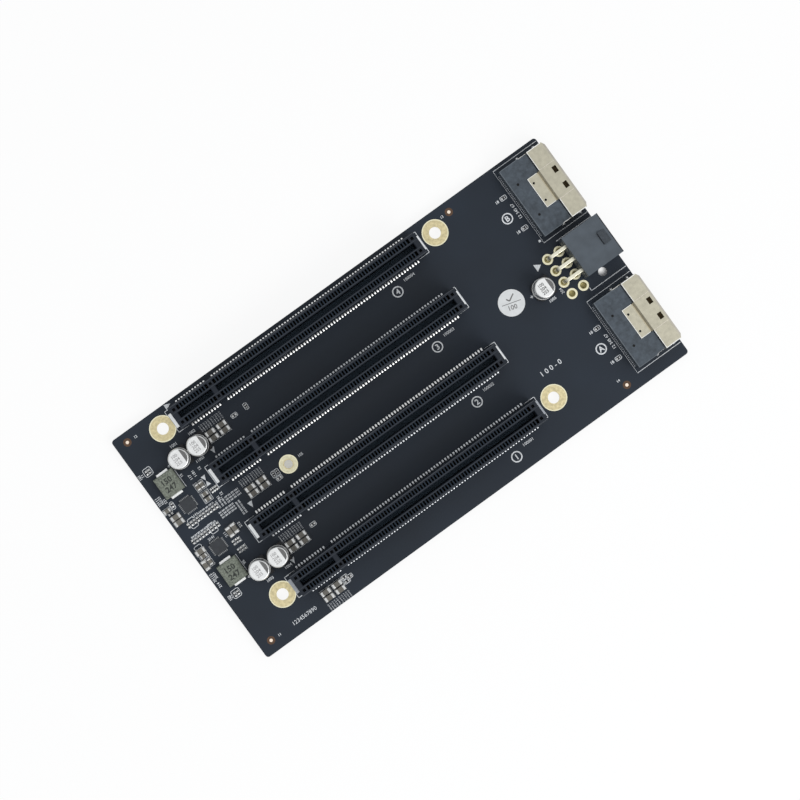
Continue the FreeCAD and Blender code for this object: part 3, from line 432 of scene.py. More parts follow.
FLOOR_REACH, GLOW = 2.0, 0.88
level = solid_low.z - 0.00001
floor_mesh = bpy.data.meshes.new("paper_floor")
floor_corners = [(x * FLOOR_REACH, y * FLOOR_REACH, level) for x, y in ((-1, -1), (1, -1), (1, 1), (-1, 1))]
floor_mesh.from_pydata(floor_corners, [], [(0, 1, 2, 3)])
floor = place("paper_floor", floor_mesh)
paper = bpy.data.materials.new("white_paper")
paper.use_nodes = True
tree = paper.node_tree
sheet_face = tree.nodes["Principled BSDF"]
feed(tree, sheet_face, {"Base Color": (0.97, 0.97, 0.97, 1), "Roughness": 0.9, "Specular IOR Level": 0.0})
rays = add_node(tree, "ShaderNodeLightPath").outputs
watched = add_math(tree, "MAXIMUM", rays["Is Camera Ray"], rays["Is Glossy Ray"])
glow_share = add_math(tree, "MULTIPLY", watched, GLOW)
paper_place = add_node(tree, "ShaderNodeTexCoord").outputs["Object"]
# Under each small hole: the brightest spot of the paper, then the share of its glow at distances from there
SHADED_PAPER = (((84.6, -7.5), ((0.3, 0.92), (1.0, 0.44), (1.7, 0.05), (3.2, 0.0), (3.3, 1.0))),
                ((-26.0, 0.0), ((0.0, 0.33), (3.2, 0.33), (3.3, 1.0))))
SHADE_REACH = 4.0
for (x, y), steps in SHADED_PAPER:
    spot = {0: paper_place, 1: (x * MM, y * MM, level)}
    away = add_node(tree, "ShaderNodeVectorMath", spot, operation="DISTANCE").outputs["Value"]
    kept = add_node(tree, "ShaderNodeValToRGB", {"Fac": add_math(tree, "DIVIDE", away, SHADE_REACH * MM)})
    marks = kept.color_ramp.elements
    for index, (distance, glow_left) in enumerate(steps):
        mark = marks[0] if index == 0 else marks.new(distance / SHADE_REACH)
        mark.position = distance / SHADE_REACH
        mark.color = (glow_left, glow_left, glow_left, 1)
    glow_share = add_math(tree, "MULTIPLY", glow_share, kept.outputs["Color"])
glow = add_node(tree, "ShaderNodeEmission", {"Strength": 1.0})
faces = {"Fac": glow_share, 1: sheet_face.outputs["BSDF"], 2: glow.outputs["Emission"]}
blend = add_node(tree, "ShaderNodeMixShader", faces).outputs["Shader"]
feed(tree, tree.nodes["Material Output"], {"Surface": blend})
floor_mesh.materials.append(paper)
print("floor level in mm:", round(level / MM, 3))

# %% [markdown]
# Contacts, ribs and tails repeat hundreds of times in even steps, so Geometry Nodes place them. The tree
# draws two runs of points in a line, because a card slot's contacts stop at its key and go on behind it. It
# puts one copy of the piece on every point, and then copies the whole line, so that all four slots can be
# made at once.

# %% Tree that repeats a piece along rows


def new_tree(name, sockets):
    """An empty tree, the identifiers of its inputs, and the outputs that hand them on."""
    tree = bpy.data.node_groups.new(name, "GeometryNodeTree")
    inputs = {}
    for key, kind in sockets.items():
        socket = tree.interface.new_socket(name=key, in_out="INPUT", socket_type=f"NodeSocket{kind}")
        inputs[key] = socket.identifier
    tree.interface.new_socket(name="Geometry", in_out="OUTPUT", socket_type="NodeSocketGeometry")
    return tree, inputs, add_node(tree, "NodeGroupInput").outputs


def copied_piece(tree, given):
    """The piece that a tree copies."""
    inputs = {"As Instance": True, "Object": given["Piece"]}
    return add_node(tree, "GeometryNodeObjectInfo", inputs).outputs["Geometry"]


def copies_on(tree, points, piece, **more):
    """A copy of a piece on every point."""
    inputs = {"Points": points, "Instance": piece, **more}
    return add_node(tree, "GeometryNodeInstanceOnPoints", inputs).outputs["Instances"]


def end_tree(tree, given, copies):
    """Makes the copies real and gives them their finish."""
    solid = add_node(tree, "GeometryNodeRealizeInstances", {"Geometry": copies}).outputs["Geometry"]
    painted = add_node(tree, "GeometryNodeSetMaterial", {"Geometry": solid, "Material": given["Finish"]})
    add_node(tree, "NodeGroupOutput", {"Geometry": painted.outputs["Geometry"]})


def build_rows_tree():
    tree, inputs, given = new_tree("rows_of_pieces", {
        "Piece": "Object", "Start": "Vector", "Step": "Vector", "First run": "Int", "Second start": "Vector",
        "Second run": "Int", "Lines": "Int", "Line step": "Vector", "Finish": "Material"})
    joined = add_node(tree, "GeometryNodeJoinGeometry")
    for count, start in (("First run", "Start"), ("Second run", "Second start")):
        run = {"Count": given[count], "Start Location": given[start], "Offset": given["Step"]}
        feed(tree, joined, {"Geometry": add_node(tree, "GeometryNodeMeshLine", run).outputs["Mesh"]})
    along = copies_on(tree, joined.outputs["Geometry"], copied_piece(tree, given))
    lines = add_node(tree, "GeometryNodeMeshLine", {"Count": given["Lines"], "Offset": given["Line step"]})
    end_tree(tree, given, copies_on(tree, lines.outputs["Mesh"], along))
    return tree, inputs


ROWS, ROWS_INPUTS = build_rows_tree()


def baked(item):
    """The plain mesh of an object when all its steps are done; the object itself goes."""
    mesh = bpy.data.meshes.new_from_object(item.evaluated_get(bpy.context.evaluated_depsgraph_get()))
    bpy.data.objects.remove(item)
    return mesh


def run_tree(name, tree, inputs, carrier_mesh, stock, rounding, values):
    """Runs a tree on a carrier, with a stock as the piece to copy, and gives the result as a plain mesh."""
    source = place("copied_piece", stock.mesh("copied_piece", rounding))
    carrier = place(name + "_carrier", carrier_mesh)
    modifier = carrier.modifiers.new("rows", "NODES")
    modifier.node_group = tree
    for key, value in {"Piece": source, **values}.items():
        modifier[inputs[key]] = value
    carrier.update_tag()
    mesh = baked(carrier)
    mesh.name = name
    bpy.data.objects.remove(source)
    return mesh


def rows(name, stock, finish_name, start, step, first, second_start=(0, 0, 0), second=0, lines=1,
         line_step=(0, 0, 0), stands_for=()):
    """One piece made of copies of a small shape in rows."""
    values = {"First run": first, "Second run": second, "Lines": lines, "Finish": FINISHES[finish_name]}
    for key, spot in (("Start", start), ("Step", step), ("Second start", second_start),
                      ("Line step", line_step)):
        values[key] = [value * MM for value in spot]
    mesh = run_tree(name, ROWS, ROWS_INPUTS, bpy.data.meshes.new(name + "_carrier"), stock, 0.0, values)
    make_piece(name, mesh, finish_name, stands_for)


print("rows tree nodes:", len(ROWS.nodes))

# %% [markdown]
# A card slot has 82 contacts on each side, 11 before the key and 71 after it, one millimetre apart. Each
# shows as a gull-wing tail: it leaves the housing, bends down and ends in a bright blob of solder. The solid
# model has plain wedges there. One tail is drawn as a bent strip with its solder, and the tree repeats it
# along each side of a slot. Some rows get a darker copy of the tin as painted shade, where the photograph
# shows them darker.

# %% Slot contact tails
TOP = corners("circuit_board")[1].z
SLOTS = (1, 2, 3, 4)
slot_lines = [middle_of(f"slot_{number}_housing")[1] for number in SLOTS]
slot_pitch = slot_lines[1] - slot_lines[0]
slot_low, slot_high = corners("slot_1_housing")
slot_top = slot_high.z
SLOT_END, PITCH, BEFORE_KEY, AFTER_KEY, KEY_GAP = 3.0, 1.0, 11, 71, 3.0
first_contact = slot_low.x + SLOT_END
last_before_key = first_contact + (BEFORE_KEY - 1) * PITCH
first_after_key = last_before_key + KEY_GAP
TAIL_HALF, SOLDER_HIGH, SOLDER_MIDDLE = 0.22, 0.2, 4.27
TAIL_STRIP = ((3.05, 0.76), (3.40, 0.68), (3.75, 0.53), (4.05, 0.38), (4.30, 0.28), (4.55, 0.22),
              (4.60, 0.05), (4.25, 0.05), (3.98, 0.21), (3.68, 0.36), (3.34, 0.50), (3.05, 0.56))
SOLDER_FOOT = ((-0.33, 3.95), (-0.20, 3.82), (0.20, 3.82), (0.33, 3.95), (0.33, 4.54), (0.20, 4.70),
               (-0.20, 4.70), (-0.33, 4.54))
SOLDER_CROWN = [(x * 0.8, SOLDER_MIDDLE + (y - SOLDER_MIDDLE) * 0.78) for x, y in SOLDER_FOOT]


def tail(sign, rise, shift):
    """One bent tail with its solder, along +Y or -Y from the slot's middle line; shift moves it outwards."""
    stock = Stock()
    stock.cross_bar([(sign * (y + shift), z * rise) for y, z in TAIL_STRIP], TAIL_HALF)
    foot, crown = [[(x, sign * (y + shift)) for x, y in outline] for outline in (SOLDER_FOOT, SOLDER_CROWN)]
    stock.mound(foot, crown, 0.0, SOLDER_HIGH)
    return stock


def contact_rows(name, stock, finish_name, line, level, between=0, lines=1, stands_for=()):
    """Copies at every contact of a slot, or with between=1 in the middle between every two contacts."""
    offset = between * PITCH / 2
    first, second = [(x + offset, line, level) for x in (first_contact, first_after_key)]
    rows(name, stock, finish_name, first, (PITCH, 0, 0), BEFORE_KEY - between, second, AFTER_KEY - between,
         lines, (0, slot_pitch, 0), stands_for)


# Slot, side, rise, outward shift and finish of each row; the shaded finish is painted shade
for number, side, rise, shift, tin in (
        (1, "a", 1.0, -0.06, "dull_contact"), (1, "b", 1.35, 0.04, "dull_contact"),
        (2, "a", 0.75, 0.0, "tinned_contact"), (2, "b", 1.42, 0.04, "dull_contact"),
        (3, "a", 1.0, -0.08, "dull_contact"), (3, "b", 1.35, -0.1, "tinned_contact"),
        (4, "a", 1.0, 0.0, "tinned_contact"), (4, "b", 1.35, -0.08, "tinned_contact")):
    stock = tail(1 if side == "a" else -1, rise, shift)
    contact_rows(f"slot_{number}_tails_{side}", stock, tin, slot_lines[number - 1], TOP,
                 stands_for=[f"slot_{number}_contacts_{side}"])

# %% [markdown]
# Seen from above, each contact sits in its own small window, and thin ribs part the windows. The solid model
# has the long trench; the ribs are added here. Deep in each window stands the spring, and its bow comes
# through the wall of the card slot, where it will press on the card's gold fingers. The floor of the card
# slot is drawn in a paler, bluer tone than its plastic: painted light in the deep slot.

# %% Window ribs and contact springs
RIB_HALF, RIB_NEAR, RIB_FAR, RIB_FOOT, RIB_TOP, BOW_HALF = 0.2, 1.48, 2.92, -6.5, -0.02, 0.2
SPRING_STRIP = ((2.55, -6.5), (2.70, -6.5), (2.25, -4.6), (1.85, -3.4), (2.25, -2.3), (2.10, -2.3),
                (1.68, -3.4), (2.10, -4.7))
BOW_STRIP = ((0.90, -3.6), (0.74, -4.0), (0.66, -4.5), (0.72, -5.0), (0.90, -5.6))
rib = Stock()
spring = Stock()
bow = Stock()
for sign in (1, -1):
    rib.box((-RIB_HALF, sign * RIB_NEAR, RIB_FOOT), (RIB_HALF, sign * RIB_FAR, RIB_TOP))
    spring.cross_bar([(sign * y, z) for y, z in SPRING_STRIP], TAIL_HALF)
    bow.cross_bar([(sign * y, z) for y, z in BOW_STRIP], BOW_HALF)
for name, stock, finish_name, between, slot in (
        ("slot_window_ribs", rib, "window_plastic", 1, "slot_plastic"),
        ("slot_springs", spring, "shaded_spring", 0, None),
        ("slot_contact_bows", bow, "shaded_spring", 0, None)):
    contact_rows(name, stock, finish_name, slot_lines[0], slot_top, between, len(SLOTS))
CARD_DEPTH, CARD_HALF, CARD_MARGIN, KEY_HALF = 8.4, 0.86, 1.1, 0.85
key = (last_before_key + first_after_key) / 2
card_start = first_contact - CARD_MARGIN
card_stop = first_after_key + (AFTER_KEY - 1) * PITCH + CARD_MARGIN
floors = Stock()
for line in slot_lines:
    for start, stop in ((card_start, key - KEY_HALF), (key + KEY_HALF, card_stop)):
        floors.film(start, line - CARD_HALF, stop, line + CARD_HALF, slot_top - CARD_DEPTH)
# Painted light on the card slots' deep floors
make_piece("slot_floors", floors, "slot_floor_plastic")

# %% [markdown]
# A soldered clip at each end holds the slot down on the board. Its stamped edges are rolled a little and
# look darker than its flat foot, because they turn from the light, so a thin strip of dull tin lies along
# each of them as painted shade.

# %% Edges of the hold-down clips
WELD = 0.00001


def separate_boxes(node):
    """Middle and size of each separate block in a node."""
    work = work_on(parts[node].data)
    bmesh.ops.remove_doubles(work, verts=work.verts, dist=WELD)
    todo = set(work.verts)
    boxes = []
    while todo:
        group = [todo.pop()]
        for vertex in group:
            for edge in vertex.link_edges:
                other = edge.other_vert(vertex)
                if other in todo:
                    todo.remove(other)
                    group.append(other)
        low = [min(v.co[axis] for v in group) / MM for axis in range(3)]
        high = [max(v.co[axis] for v in group) / MM for axis in range(3)]
        boxes.append(([(a + b) / 2 for a, b in zip(low, high)], [b - a for a, b in zip(low, high)]))
    work.free()
    return sorted(boxes)


CLIP_SHEET, ROLLED = 0.35, 0.14
# Painted shade along the clips' rolled edges
clip_edge_shades = Stock()
for number in SLOTS:
    for middle, extent in separate_boxes(f"slot_{number}_hold_downs"):
        outwards = math.copysign(1, middle[0])
        tip = middle[0] + outwards * extent[0] / 2
        root = middle[0] - outwards * extent[0] / 2
        left, right = middle[1] - extent[1] / 2, middle[1] + extent[1] / 2
        clip_top = middle[2] + extent[2] / 2
        for x, wide, face in ((root, CLIP_SHEET, clip_top), (tip, -ROLLED, TOP + CLIP_SHEET)):
            clip_edge_shades.film(x, left, x + outwards * wide, right, face)
make_piece("slot_clip_edges", clip_edge_shades, "dull_tin")

# %% [markdown]
# The cable sockets are soldered at the back by a close row of small tails. Inside the metal mouth the
# plastic nose has a slot with a row of gold blades above and below, where the plug's little card slides in.

# %% Socket tails and blades
mouth = corners("cable_socket_a_shell")[1].x
socket_lines = [middle_of(f"cable_socket_{letter}_housing")[1] for letter in "ab"]
SOCKET_COUNT, SOCKET_PITCH, SMALL_HALF, PASTE_HALF, BLADE_HALF, BLADE = 37, 0.6, 0.14, 0.18, 0.15, 0.08
SMALL_STRIP = ((-15.1, 0.62), (-15.35, 0.62), (-15.52, 0.5), (-15.62, 0.22), (-15.72, 0.14), (-16.12, 0.14),
               (-16.14, 0.02), (-15.64, 0.02), (-15.52, 0.1), (-15.4, 0.44), (-15.28, 0.5), (-15.1, 0.5))
PASTE_STRIP = ((-15.6, 0), (-16.2, 0), (-16.2, 0.03), (-16.12, 0.09), (-15.7, 0.09))


def socket_rows(name, stock, finish_name, stands_for=()):
    """Copies at every contact of both cable sockets."""
    first = socket_lines[0] - (SOCKET_COUNT - 1) / 2 * SOCKET_PITCH
    rows(name, stock, finish_name, (mouth, first, TOP), (0, SOCKET_PITCH, 0), SOCKET_COUNT, lines=2,
         line_step=(0, socket_lines[1] - socket_lines[0], 0), stands_for=stands_for)


small_tail = Stock()
for strip, half in ((SMALL_STRIP, SMALL_HALF), (PASTE_STRIP, PASTE_HALF)):
    small_tail.bar(strip, half)
socket_rows("socket_tails", small_tail, "dull_tin",
            ["cable_socket_a_contacts", "cable_socket_b_contacts"])
blade = Stock()
for height in (2.25, 3.07):
    blade.box((-5.3, -BLADE_HALF, height), (-1.9, BLADE_HALF, height + BLADE))
socket_rows("socket_blades", blade, "contact_gold")

# %% [markdown]
# The two regulator chips have no legs: small pads show along their four edges. Two short runs of the same
# tree make them, one for the edges along X and one for those along Y, and copy them to the second chip.

# %% Regulator pads
low, high = corners("regulator_chip_2")
chip_x, chip_y = middle_of("regulator_chip_2")
half_chip = (high.x - low.x) / 2
PADS, PAD_PITCH, PAD_HALF, PAD_UNDER, PAD_OUT, PAD_HIGH = 7, 0.5, 0.15, 0.1, 0.5, 0.06
offset = -(PADS - 1) / 2 * PAD_PITCH
for name, along_x in (("regulator_pads_x", True), ("regulator_pads_y", False)):
    pads = Stock()
    for sign in (1, -1):
        start = (-PAD_HALF, sign * (half_chip - PAD_UNDER))
        stop = (PAD_HALF, sign * (half_chip + PAD_OUT))
        if not along_x:
            start, stop = start[::-1], stop[::-1]
        pads.box((*start, 0.0), (*stop, PAD_HIGH))
    start = (chip_x + offset, chip_y, TOP) if along_x else (chip_x, chip_y + offset, TOP)
    step = (PAD_PITCH, 0, 0) if along_x else (0, PAD_PITCH, 0)
    rows(name, pads, "pad_tin", start, step, PADS, lines=2, line_step=(0, -2 * chip_y, 0))

# %% [markdown]
# Chip capacitors and resistors are blocks with a tinned cap on each end, sitting on two solder pads. Their
# places come from the solids: each group node is taken apart into its separate blocks, and each block gives
# a place, a direction and a size. A second tree puts one detailed chip on every such point and turns it.

# %% Places of the chips
CHIP_NODES = {
    "capacitor": [f"slot_{number}_bypass_capacitors" for number in SLOTS]
                 + ["regulator_1_capacitors", "regulator_2_capacitors"],
    "resistor": ["regulator_1_resistors", "regulator_2_resistors", "slot_resistors", "socket_resistors"],
}
chips = {}
for family, names in CHIP_NODES.items():
    for name in names:
        for middle, extent in separate_boxes(name):
            turn = 0.0 if extent[0] > extent[1] else math.pi / 2
            width, length = sorted(extent[:2])
            kind = (family, round(length, 2), round(width, 2), round(extent[2], 2))
            chips.setdefault(kind, []).append((middle[0], middle[1], turn))
print("chip kinds:", {kind: len(places) for kind, places in chips.items()})

# %% Tree that scatters chips


def build_scatter_tree():
    sockets = {"Places": "Geometry", "Piece": "Object", "Finish": "Material"}
    tree, inputs, given = new_tree("chips_on_places", sockets)
    turn = add_node(tree, "GeometryNodeInputNamedAttribute", {"Name": "turn"}, data_type="FLOAT")
    upright = add_node(tree, "ShaderNodeCombineXYZ", {"Z": turn.outputs["Attribute"]}).outputs["Vector"]
    rotation = add_node(tree, "FunctionNodeEulerToRotation", {"Euler": upright}).outputs["Rotation"]
    end_tree(tree, given, copies_on(tree, given["Places"], copied_piece(tree, given), Rotation=rotation))
    return tree, inputs


SCATTER, SCATTER_INPUTS = build_scatter_tree()


def scatter(name, stock, finish_name, places, rounding):
    """A plain mesh of copies on the places, turned as each place says."""
    carrier = bpy.data.meshes.new(name + "_places")
    carrier.from_pydata([(x * MM, y * MM, TOP * MM) for x, y, turn in places], [], [])
    turns = carrier.attributes.new("turn", "FLOAT", "POINT")
    turns.data.foreach_set("value", [turn for x, y, turn in places])
    values = {"Finish": FINISHES[finish_name]}
    return run_tree(name, SCATTER, SCATTER_INPUTS, carrier, stock, rounding, values)


print("scatter tree nodes:", len(SCATTER.nodes))

# %% [markdown]
# A chip is drawn once for each size: a body that stops short of its ends, two caps that wrap it, and two
# pads with a sloped fillet of solder. Resistors are black on top and thin; capacitors are tan and taller.

# %% Chips
CAP_SHARE, BODY_END, BODY_SIDE, BODY_LIFT, CAP_LIFT, PAD_SIDE = 0.27, 0.06, 0.02, 0.05, 0.03, 0.06
chip_pieces = {"capacitor": [], "resistor": [], "caps": [], "pads": []}
for number, ((family, length, width, height), places) in enumerate(sorted(chips.items())):
    half, side, cap = length / 2, width / 2, length * CAP_SHARE
    body = Stock()
    body.box((BODY_END - half, BODY_SIDE - side, BODY_LIFT),
             (half - BODY_END, side - BODY_SIDE, height - BODY_SIDE))
    caps = Stock()
    pads = Stock()
    for sign in (1, -1):
        caps.box((sign * (half - cap), -side, CAP_LIFT), (sign * half, side, height))
        fillet = ((-cap, 0.0), (0.28, 0.0), (0.26, 0.04), (0.02, height * 0.45), (-cap, height * 0.1))
        pads.bar([(sign * half + sign * x, z) for x, z in fillet], side + PAD_SIDE)
    body_finish = "chip_ceramic" if family == "capacitor" else "resistor_body"
    for kind, stock, finish_name, rounding in (
            (family, body, body_finish, min(0.06, height * 0.1)),
            ("caps", caps, "end_cap_tin", min(0.18, height * 0.2)), ("pads", pads, "tinned_contact", 0.0)):
        chip_pieces[kind].append(scatter(f"chip_{kind}_{number}", stock, finish_name, places, rounding))


def join_meshes(name, meshes):
    """Several plain meshes as one."""
    whole = write_back(work_on(*meshes), bpy.data.meshes.new(name))
    for mesh in meshes:
        bpy.data.meshes.remove(mesh)
    return whole


for kind, name, finish_name, slot in (
        ("capacitor", "chip_capacitors", "chip_ceramic", "chip_ceramic"),
        ("resistor", "chip_resistors", "resistor_body", "resistor_body"),
        ("caps", "chip_end_caps", "end_cap_tin", "bright_tin"),
        ("pads", "chip_solder", "tinned_contact", "tinned_contact")):
    make_piece(name, join_meshes(name, chip_pieces[kind]), finish_name, CHIP_NODES.get(kind, ()))

# %% [markdown]
# Screw holes are ringed with gold-plated copper, so that the chassis grounds the board. The plating runs
# through the hole to a second ring underneath. A thin paler rim shows where the solder mask ends. The small
# support hole gets a darker gold ring close to its edge, as painted shade.

# %% Plated rings
PLATE = 0.03
FACES = ((TOP, TOP + PLATE), (-PLATE, 0.0))
INSIDE, WALL, RIM, RIM_LIFT, OVERLAP, SHADE_RING, SHADE_FILM = 0.04, 0.01, 0.3, 0.005, 0.02, 0.24, 0.006
SCREW_PAD, SUPPORT_PAD = 4.05, 2.85
plating = Stock()
support_plating = Stock()
rims = Stock()
mounts = {mount["name"]: mount for mount in frame["record"]["mounts"]}
screws = mounts["mounting_holes"]["dims"]
half_x, half_y = screws["spacing_x_mm"] / 2, screws["spacing_y_mm"] / 2
holes = [(sx * half_x, sy * half_y, screws["hole_r_mm"], SCREW_PAD, plating)
         for sx in (-1, 1) for sy in (-1, 1)]
support_x, support_y = [value / MM for value in mounts["support_hole"]["pos_m"][:2]]
support_radius = mounts["support_hole"]["dims"]["r_mm"]
holes.append((support_x, support_y, support_radius, SUPPORT_PAD, support_plating))
for x, y, inner, outer, stock in holes:
    for low, high in FACES:
        stock.ring(x, y, inner - INSIDE, outer - RIM, low, high)
        rims.ring(x, y, outer - RIM, outer, low, high + RIM_LIFT)
    stock.ring(x, y, inner - INSIDE, inner + WALL, -OVERLAP, TOP + OVERLAP)
# Painted shade: a film of darker gold round the support hole's edge
plating.ring(support_x, support_y, support_radius - INSIDE, support_radius + SHADE_RING, TOP + PLATE,
             TOP + PLATE + SHADE_FILM)
make_piece("hole_plating", plating, "gold_plate")
make_piece("support_hole_plating", support_plating, "support_gold")
make_piece("hole_plating_rims", rims, "pale_gold")

# %% [markdown]
# The header's footprint has four columns of pin holes, and the header fills three of them. Round gold pads
# show around every hole. From above the holes look dull and brown, because little light gets into their
# plated barrels; that shade is painted on, as a dark gold ring round each pin and a dark gold plug inside
# each open hole. Below the board the solder climbs each pin in a small cone.

# %% Header pads and solder
PIN, POWER_PITCH, COLUMNS = 1.07, 4.2, 3
PAD_HOLE, PAD_RADIUS, BARREL, FILLED, OPEN, COLLAR = 1.06, 1.65, 1.08, 0.6, 0.86, 0.01
SOLDER_CONE = ((0, 0.2), (1.2, 0.0), (1.15, -0.1), (0.8, -0.35), (0.62, -0.8), (0, -0.85))
HOLE_SHADE_PLUG = ((0, 0.35), (0.87, 0.35), (0.87, 0.6), (0.55, 0.5), (0, 0.45))
pads = Stock()
barrels = Stock()
solder = Stock()
for column in range(COLUMNS + 1):
    y = (1 - column) * POWER_PITCH
    for row in ("lower", "upper"):
        x = corners(f"power_header_{row}_pins")[0].x + PIN / 2
        for low, high in FACES:
            pads.ring(x, y, PAD_HOLE, PAD_RADIUS, low, high, 40)
        if column < COLUMNS:
            # Painted shade: a dark gold ring round the pin
            barrels.ring(x, y, FILLED, BARREL, TOP, TOP + COLLAR, 40)
            solder.turned(x, y, SOLDER_CONE, 24)
        else:
            # Painted shade: an open barrel with a dark gold plug inside it
            barrels.ring(x, y, OPEN, BARREL, -OVERLAP, TOP + OVERLAP, 40)
            barrels.turned(x, y, HOLE_SHADE_PLUG, 32)
make_piece("header_pads", pads, "pale_gold")
make_piece("header_hole_barrels", barrels, "dull_gold")
make_piece("header_solder", solder, "bright_tin")

# %% [markdown]
# The header's pins are square wire, bent down behind the housing. The solid model has them with a plain cut
# corner. Bent wire has a round bend and soft edges, which catch the light, so each row is drawn again in the
# same place.

# %% Header pins
BEND, SOFT_EDGE = 1.5, 0.1
bend_angles = [math.radians(90 + 15 * k) for k in range(7)]
for row in ("upper", "lower"):
    node = f"power_header_{row}_pins"
    low, high = corners(node)
    outside, inside = [[(low.x + BEND + radius * math.cos(a), high.z - BEND + radius * math.sin(a))
                        for a in bend_angles] for radius in (BEND, BEND - PIN)]
    side = [(high.x, high.z), *outside, (low.x, low.z), (low.x + PIN, low.z), *reversed(inside),
            (high.x, high.z - PIN)]
    wire = Stock()
    for column in range(COLUMNS):
        wire.bar(side, PIN / 2, (1 - column) * POWER_PITCH)
    make_piece(f"header_{row}_bent_pins", wire, "pin_tin", [node], SOFT_EDGE)

# %% [markdown]
# A plug's hook rides up the small ramp on the header's roof and snaps in behind it. The ramp leans towards
# the mouth, so it looks darker than the roof, and a shade lies behind it. The mouth's edge is broken by a
# narrow chamfer. These three show only as darker tones, so they are painted shade: thin films of darker
# plastic.

# %% Header latch and mouth edge
LATCH_HALF, LATCH_LONG, LATCH_HIGH, LATCH_FRONT, CHAMFER, LATCH_SHADE = 2.0, 2.5, 0.9, 1.0, 0.3, 0.25
low, high = corners("power_header_housing")
front, crest = high.x, high.z
roof_level = crest - LATCH_HIGH
ramp_front = front - LATCH_FRONT
ramp_back = ramp_front - LATCH_LONG
ramp = Stock()
slope = [(ramp_front, roof_level), (ramp_back, crest)]
slope += [(x, z + FILM) for x, z in reversed(slope)]
ramp.bar(slope, LATCH_HALF)
make_piece("header_latch_face", ramp, "shaded_plastic")
shades = Stock()
# Painted shade behind the ramp and along the mouth's edge
shades.film(ramp_back - LATCH_SHADE, -LATCH_HALF, ramp_back, LATCH_HALF, roof_level)
shades.film(front - CHAMFER, low.y, front, high.y, roof_level)
make_piece("header_edge_shades", shades, "edge_plastic")

# %% [markdown]
# The metal shells stand on legs that go into plated slots. Solder wicks up outside each leg and shows as a
# small bright mound beside the shell.

# %% Shell solder
LEG_PLACES, MOUND_OUT, CONE_IN = (2.4, 8.45), 0.16, 0.12
MOUND = ((0, -0.02), (0.62, 0), (0.6, 0.06), (0.42, 0.3), (0.22, 0.5), (0, 0.55))
CONE = ((0, 0.05), (0.75, 0.0), (0.7, -0.08), (0.4, -0.3), (0, -0.4))
mounds = Stock()
for letter in "ab":
    low, high = corners(f"cable_socket_{letter}_shell")
    for sign, side in ((-1, low.y), (1, high.y)):
        for leg in LEG_PLACES:
            mounds.turned(mouth - leg, side + sign * MOUND_OUT, [(r, TOP + z) for r, z in MOUND], 20)
            mounds.turned(mouth - leg, side - sign * CONE_IN, CONE, 20)
make_piece("shell_solder", mounds, "bright_tin")

# %% [markdown]
# The front corners of the shells are trimmed, so that a plug finds its way in. The solid shells have square
# corners. A copy of each gets the trim: a plane slices off the corner, and the open cut is filled again.

# %% Trimmed shells
TRIM_X, TRIM_Y, SHELL_WELD, ON_PLANE = 0.7, 1.2, 0.000001, 0.0000001


def trimmed_shell(node):
    """A copy of a shell's mesh without its two front corners."""
    low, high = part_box(node)
    work = work_on(parts[node].data)
    bmesh.ops.remove_doubles(work, verts=work.verts, dist=SHELL_WELD)
    for sign, side in ((-1, low.y), (1, high.y)):
        bmesh.ops.bisect_plane(work, geom=work.verts[:] + work.edges[:] + work.faces[:], dist=ON_PLANE,
                               plane_co=(high.x - TRIM_X * MM, side, 0), clear_outer=True,
                               plane_no=Vector((TRIM_Y, sign * TRIM_X, 0)).normalized())
        bmesh.ops.holes_fill(work, edges=[edge for edge in work.edges if edge.is_boundary], sides=0)
    bmesh.ops.recalc_face_normals(work, faces=work.faces)
    print(node, "open edges after the trim:", sum(edge.is_boundary for edge in work.edges))
    return write_back(work, bpy.data.meshes.new(node))


for letter in "ab":
    node = f"cable_socket_{letter}_shell"
    make_piece(f"socket_{letter}_trimmed_shell", trimmed_shell(node), "shell_metal", [node])

# %% [markdown]
# The shells are stamped from thin plated sheet. Their cut edges catch the light, their bends turn away from
# it, and where they are pierced the hollows lie in shade. These lines of light and shade are what the eye
# reads as folded metal, so each is laid on as a thin strip of its own colour: painted highlights on the cut
# edges and along the socket housings' top edges, painted shade on the bends, in the hollows and on the
# latch springs under the windows.

# %% Shell edges, bends and hollows
BAND, TAB, TAB_HALF, FOLD, JOGGLE, SHEET = 5.95, 4.4, 5.1, 0.7, 0.6, 0.25
TAB_EDGE, SIDE_EDGE, BAND_EDGE, ROOF_EDGE, ARM, ARM_HIGH = 0.16, 0.14, 0.17, 0.22, 3.0, 2.6
LIP, LIP_GAP, LIP_INSET, TRIM_GAP, SEAM_OUT, SEAM_HALF, SEAM_FRONT = 0.55, 0.02, 0.3, 0.15, 0.075, 0.07, 0.61
SEAM_DEEP, SEAM_SUNK, WINDOW_SIDE = 0.2, 0.03, 2.77
PIT_BACK, PIT_SIDE, PIT_RADIUS, PIT_DEEP = 13.45, 5.47, 0.42, 0.85
EYE_IN, EYE_SIDE, EYE_RADIUS, EYE_DEEP = 0.95, 3.04, 0.37, 0.1
SPRING_REAR, SPRING_FRONT, SPRING_HALF, SPRING_FOOT, SPRING_TOP = 2.6, 1.0, 1.2, 0.75, 0.65
edges, seams, bends, lips, hollows, springs, rails = [Stock() for _ in range(7)]
low, high = corners("cable_socket_a_shell")
roof = high.z
half_width = (high.y - low.y) / 2
band_rear = mouth - BAND
tab_rear = band_rear - TAB
tab_face = roof - JOGGLE
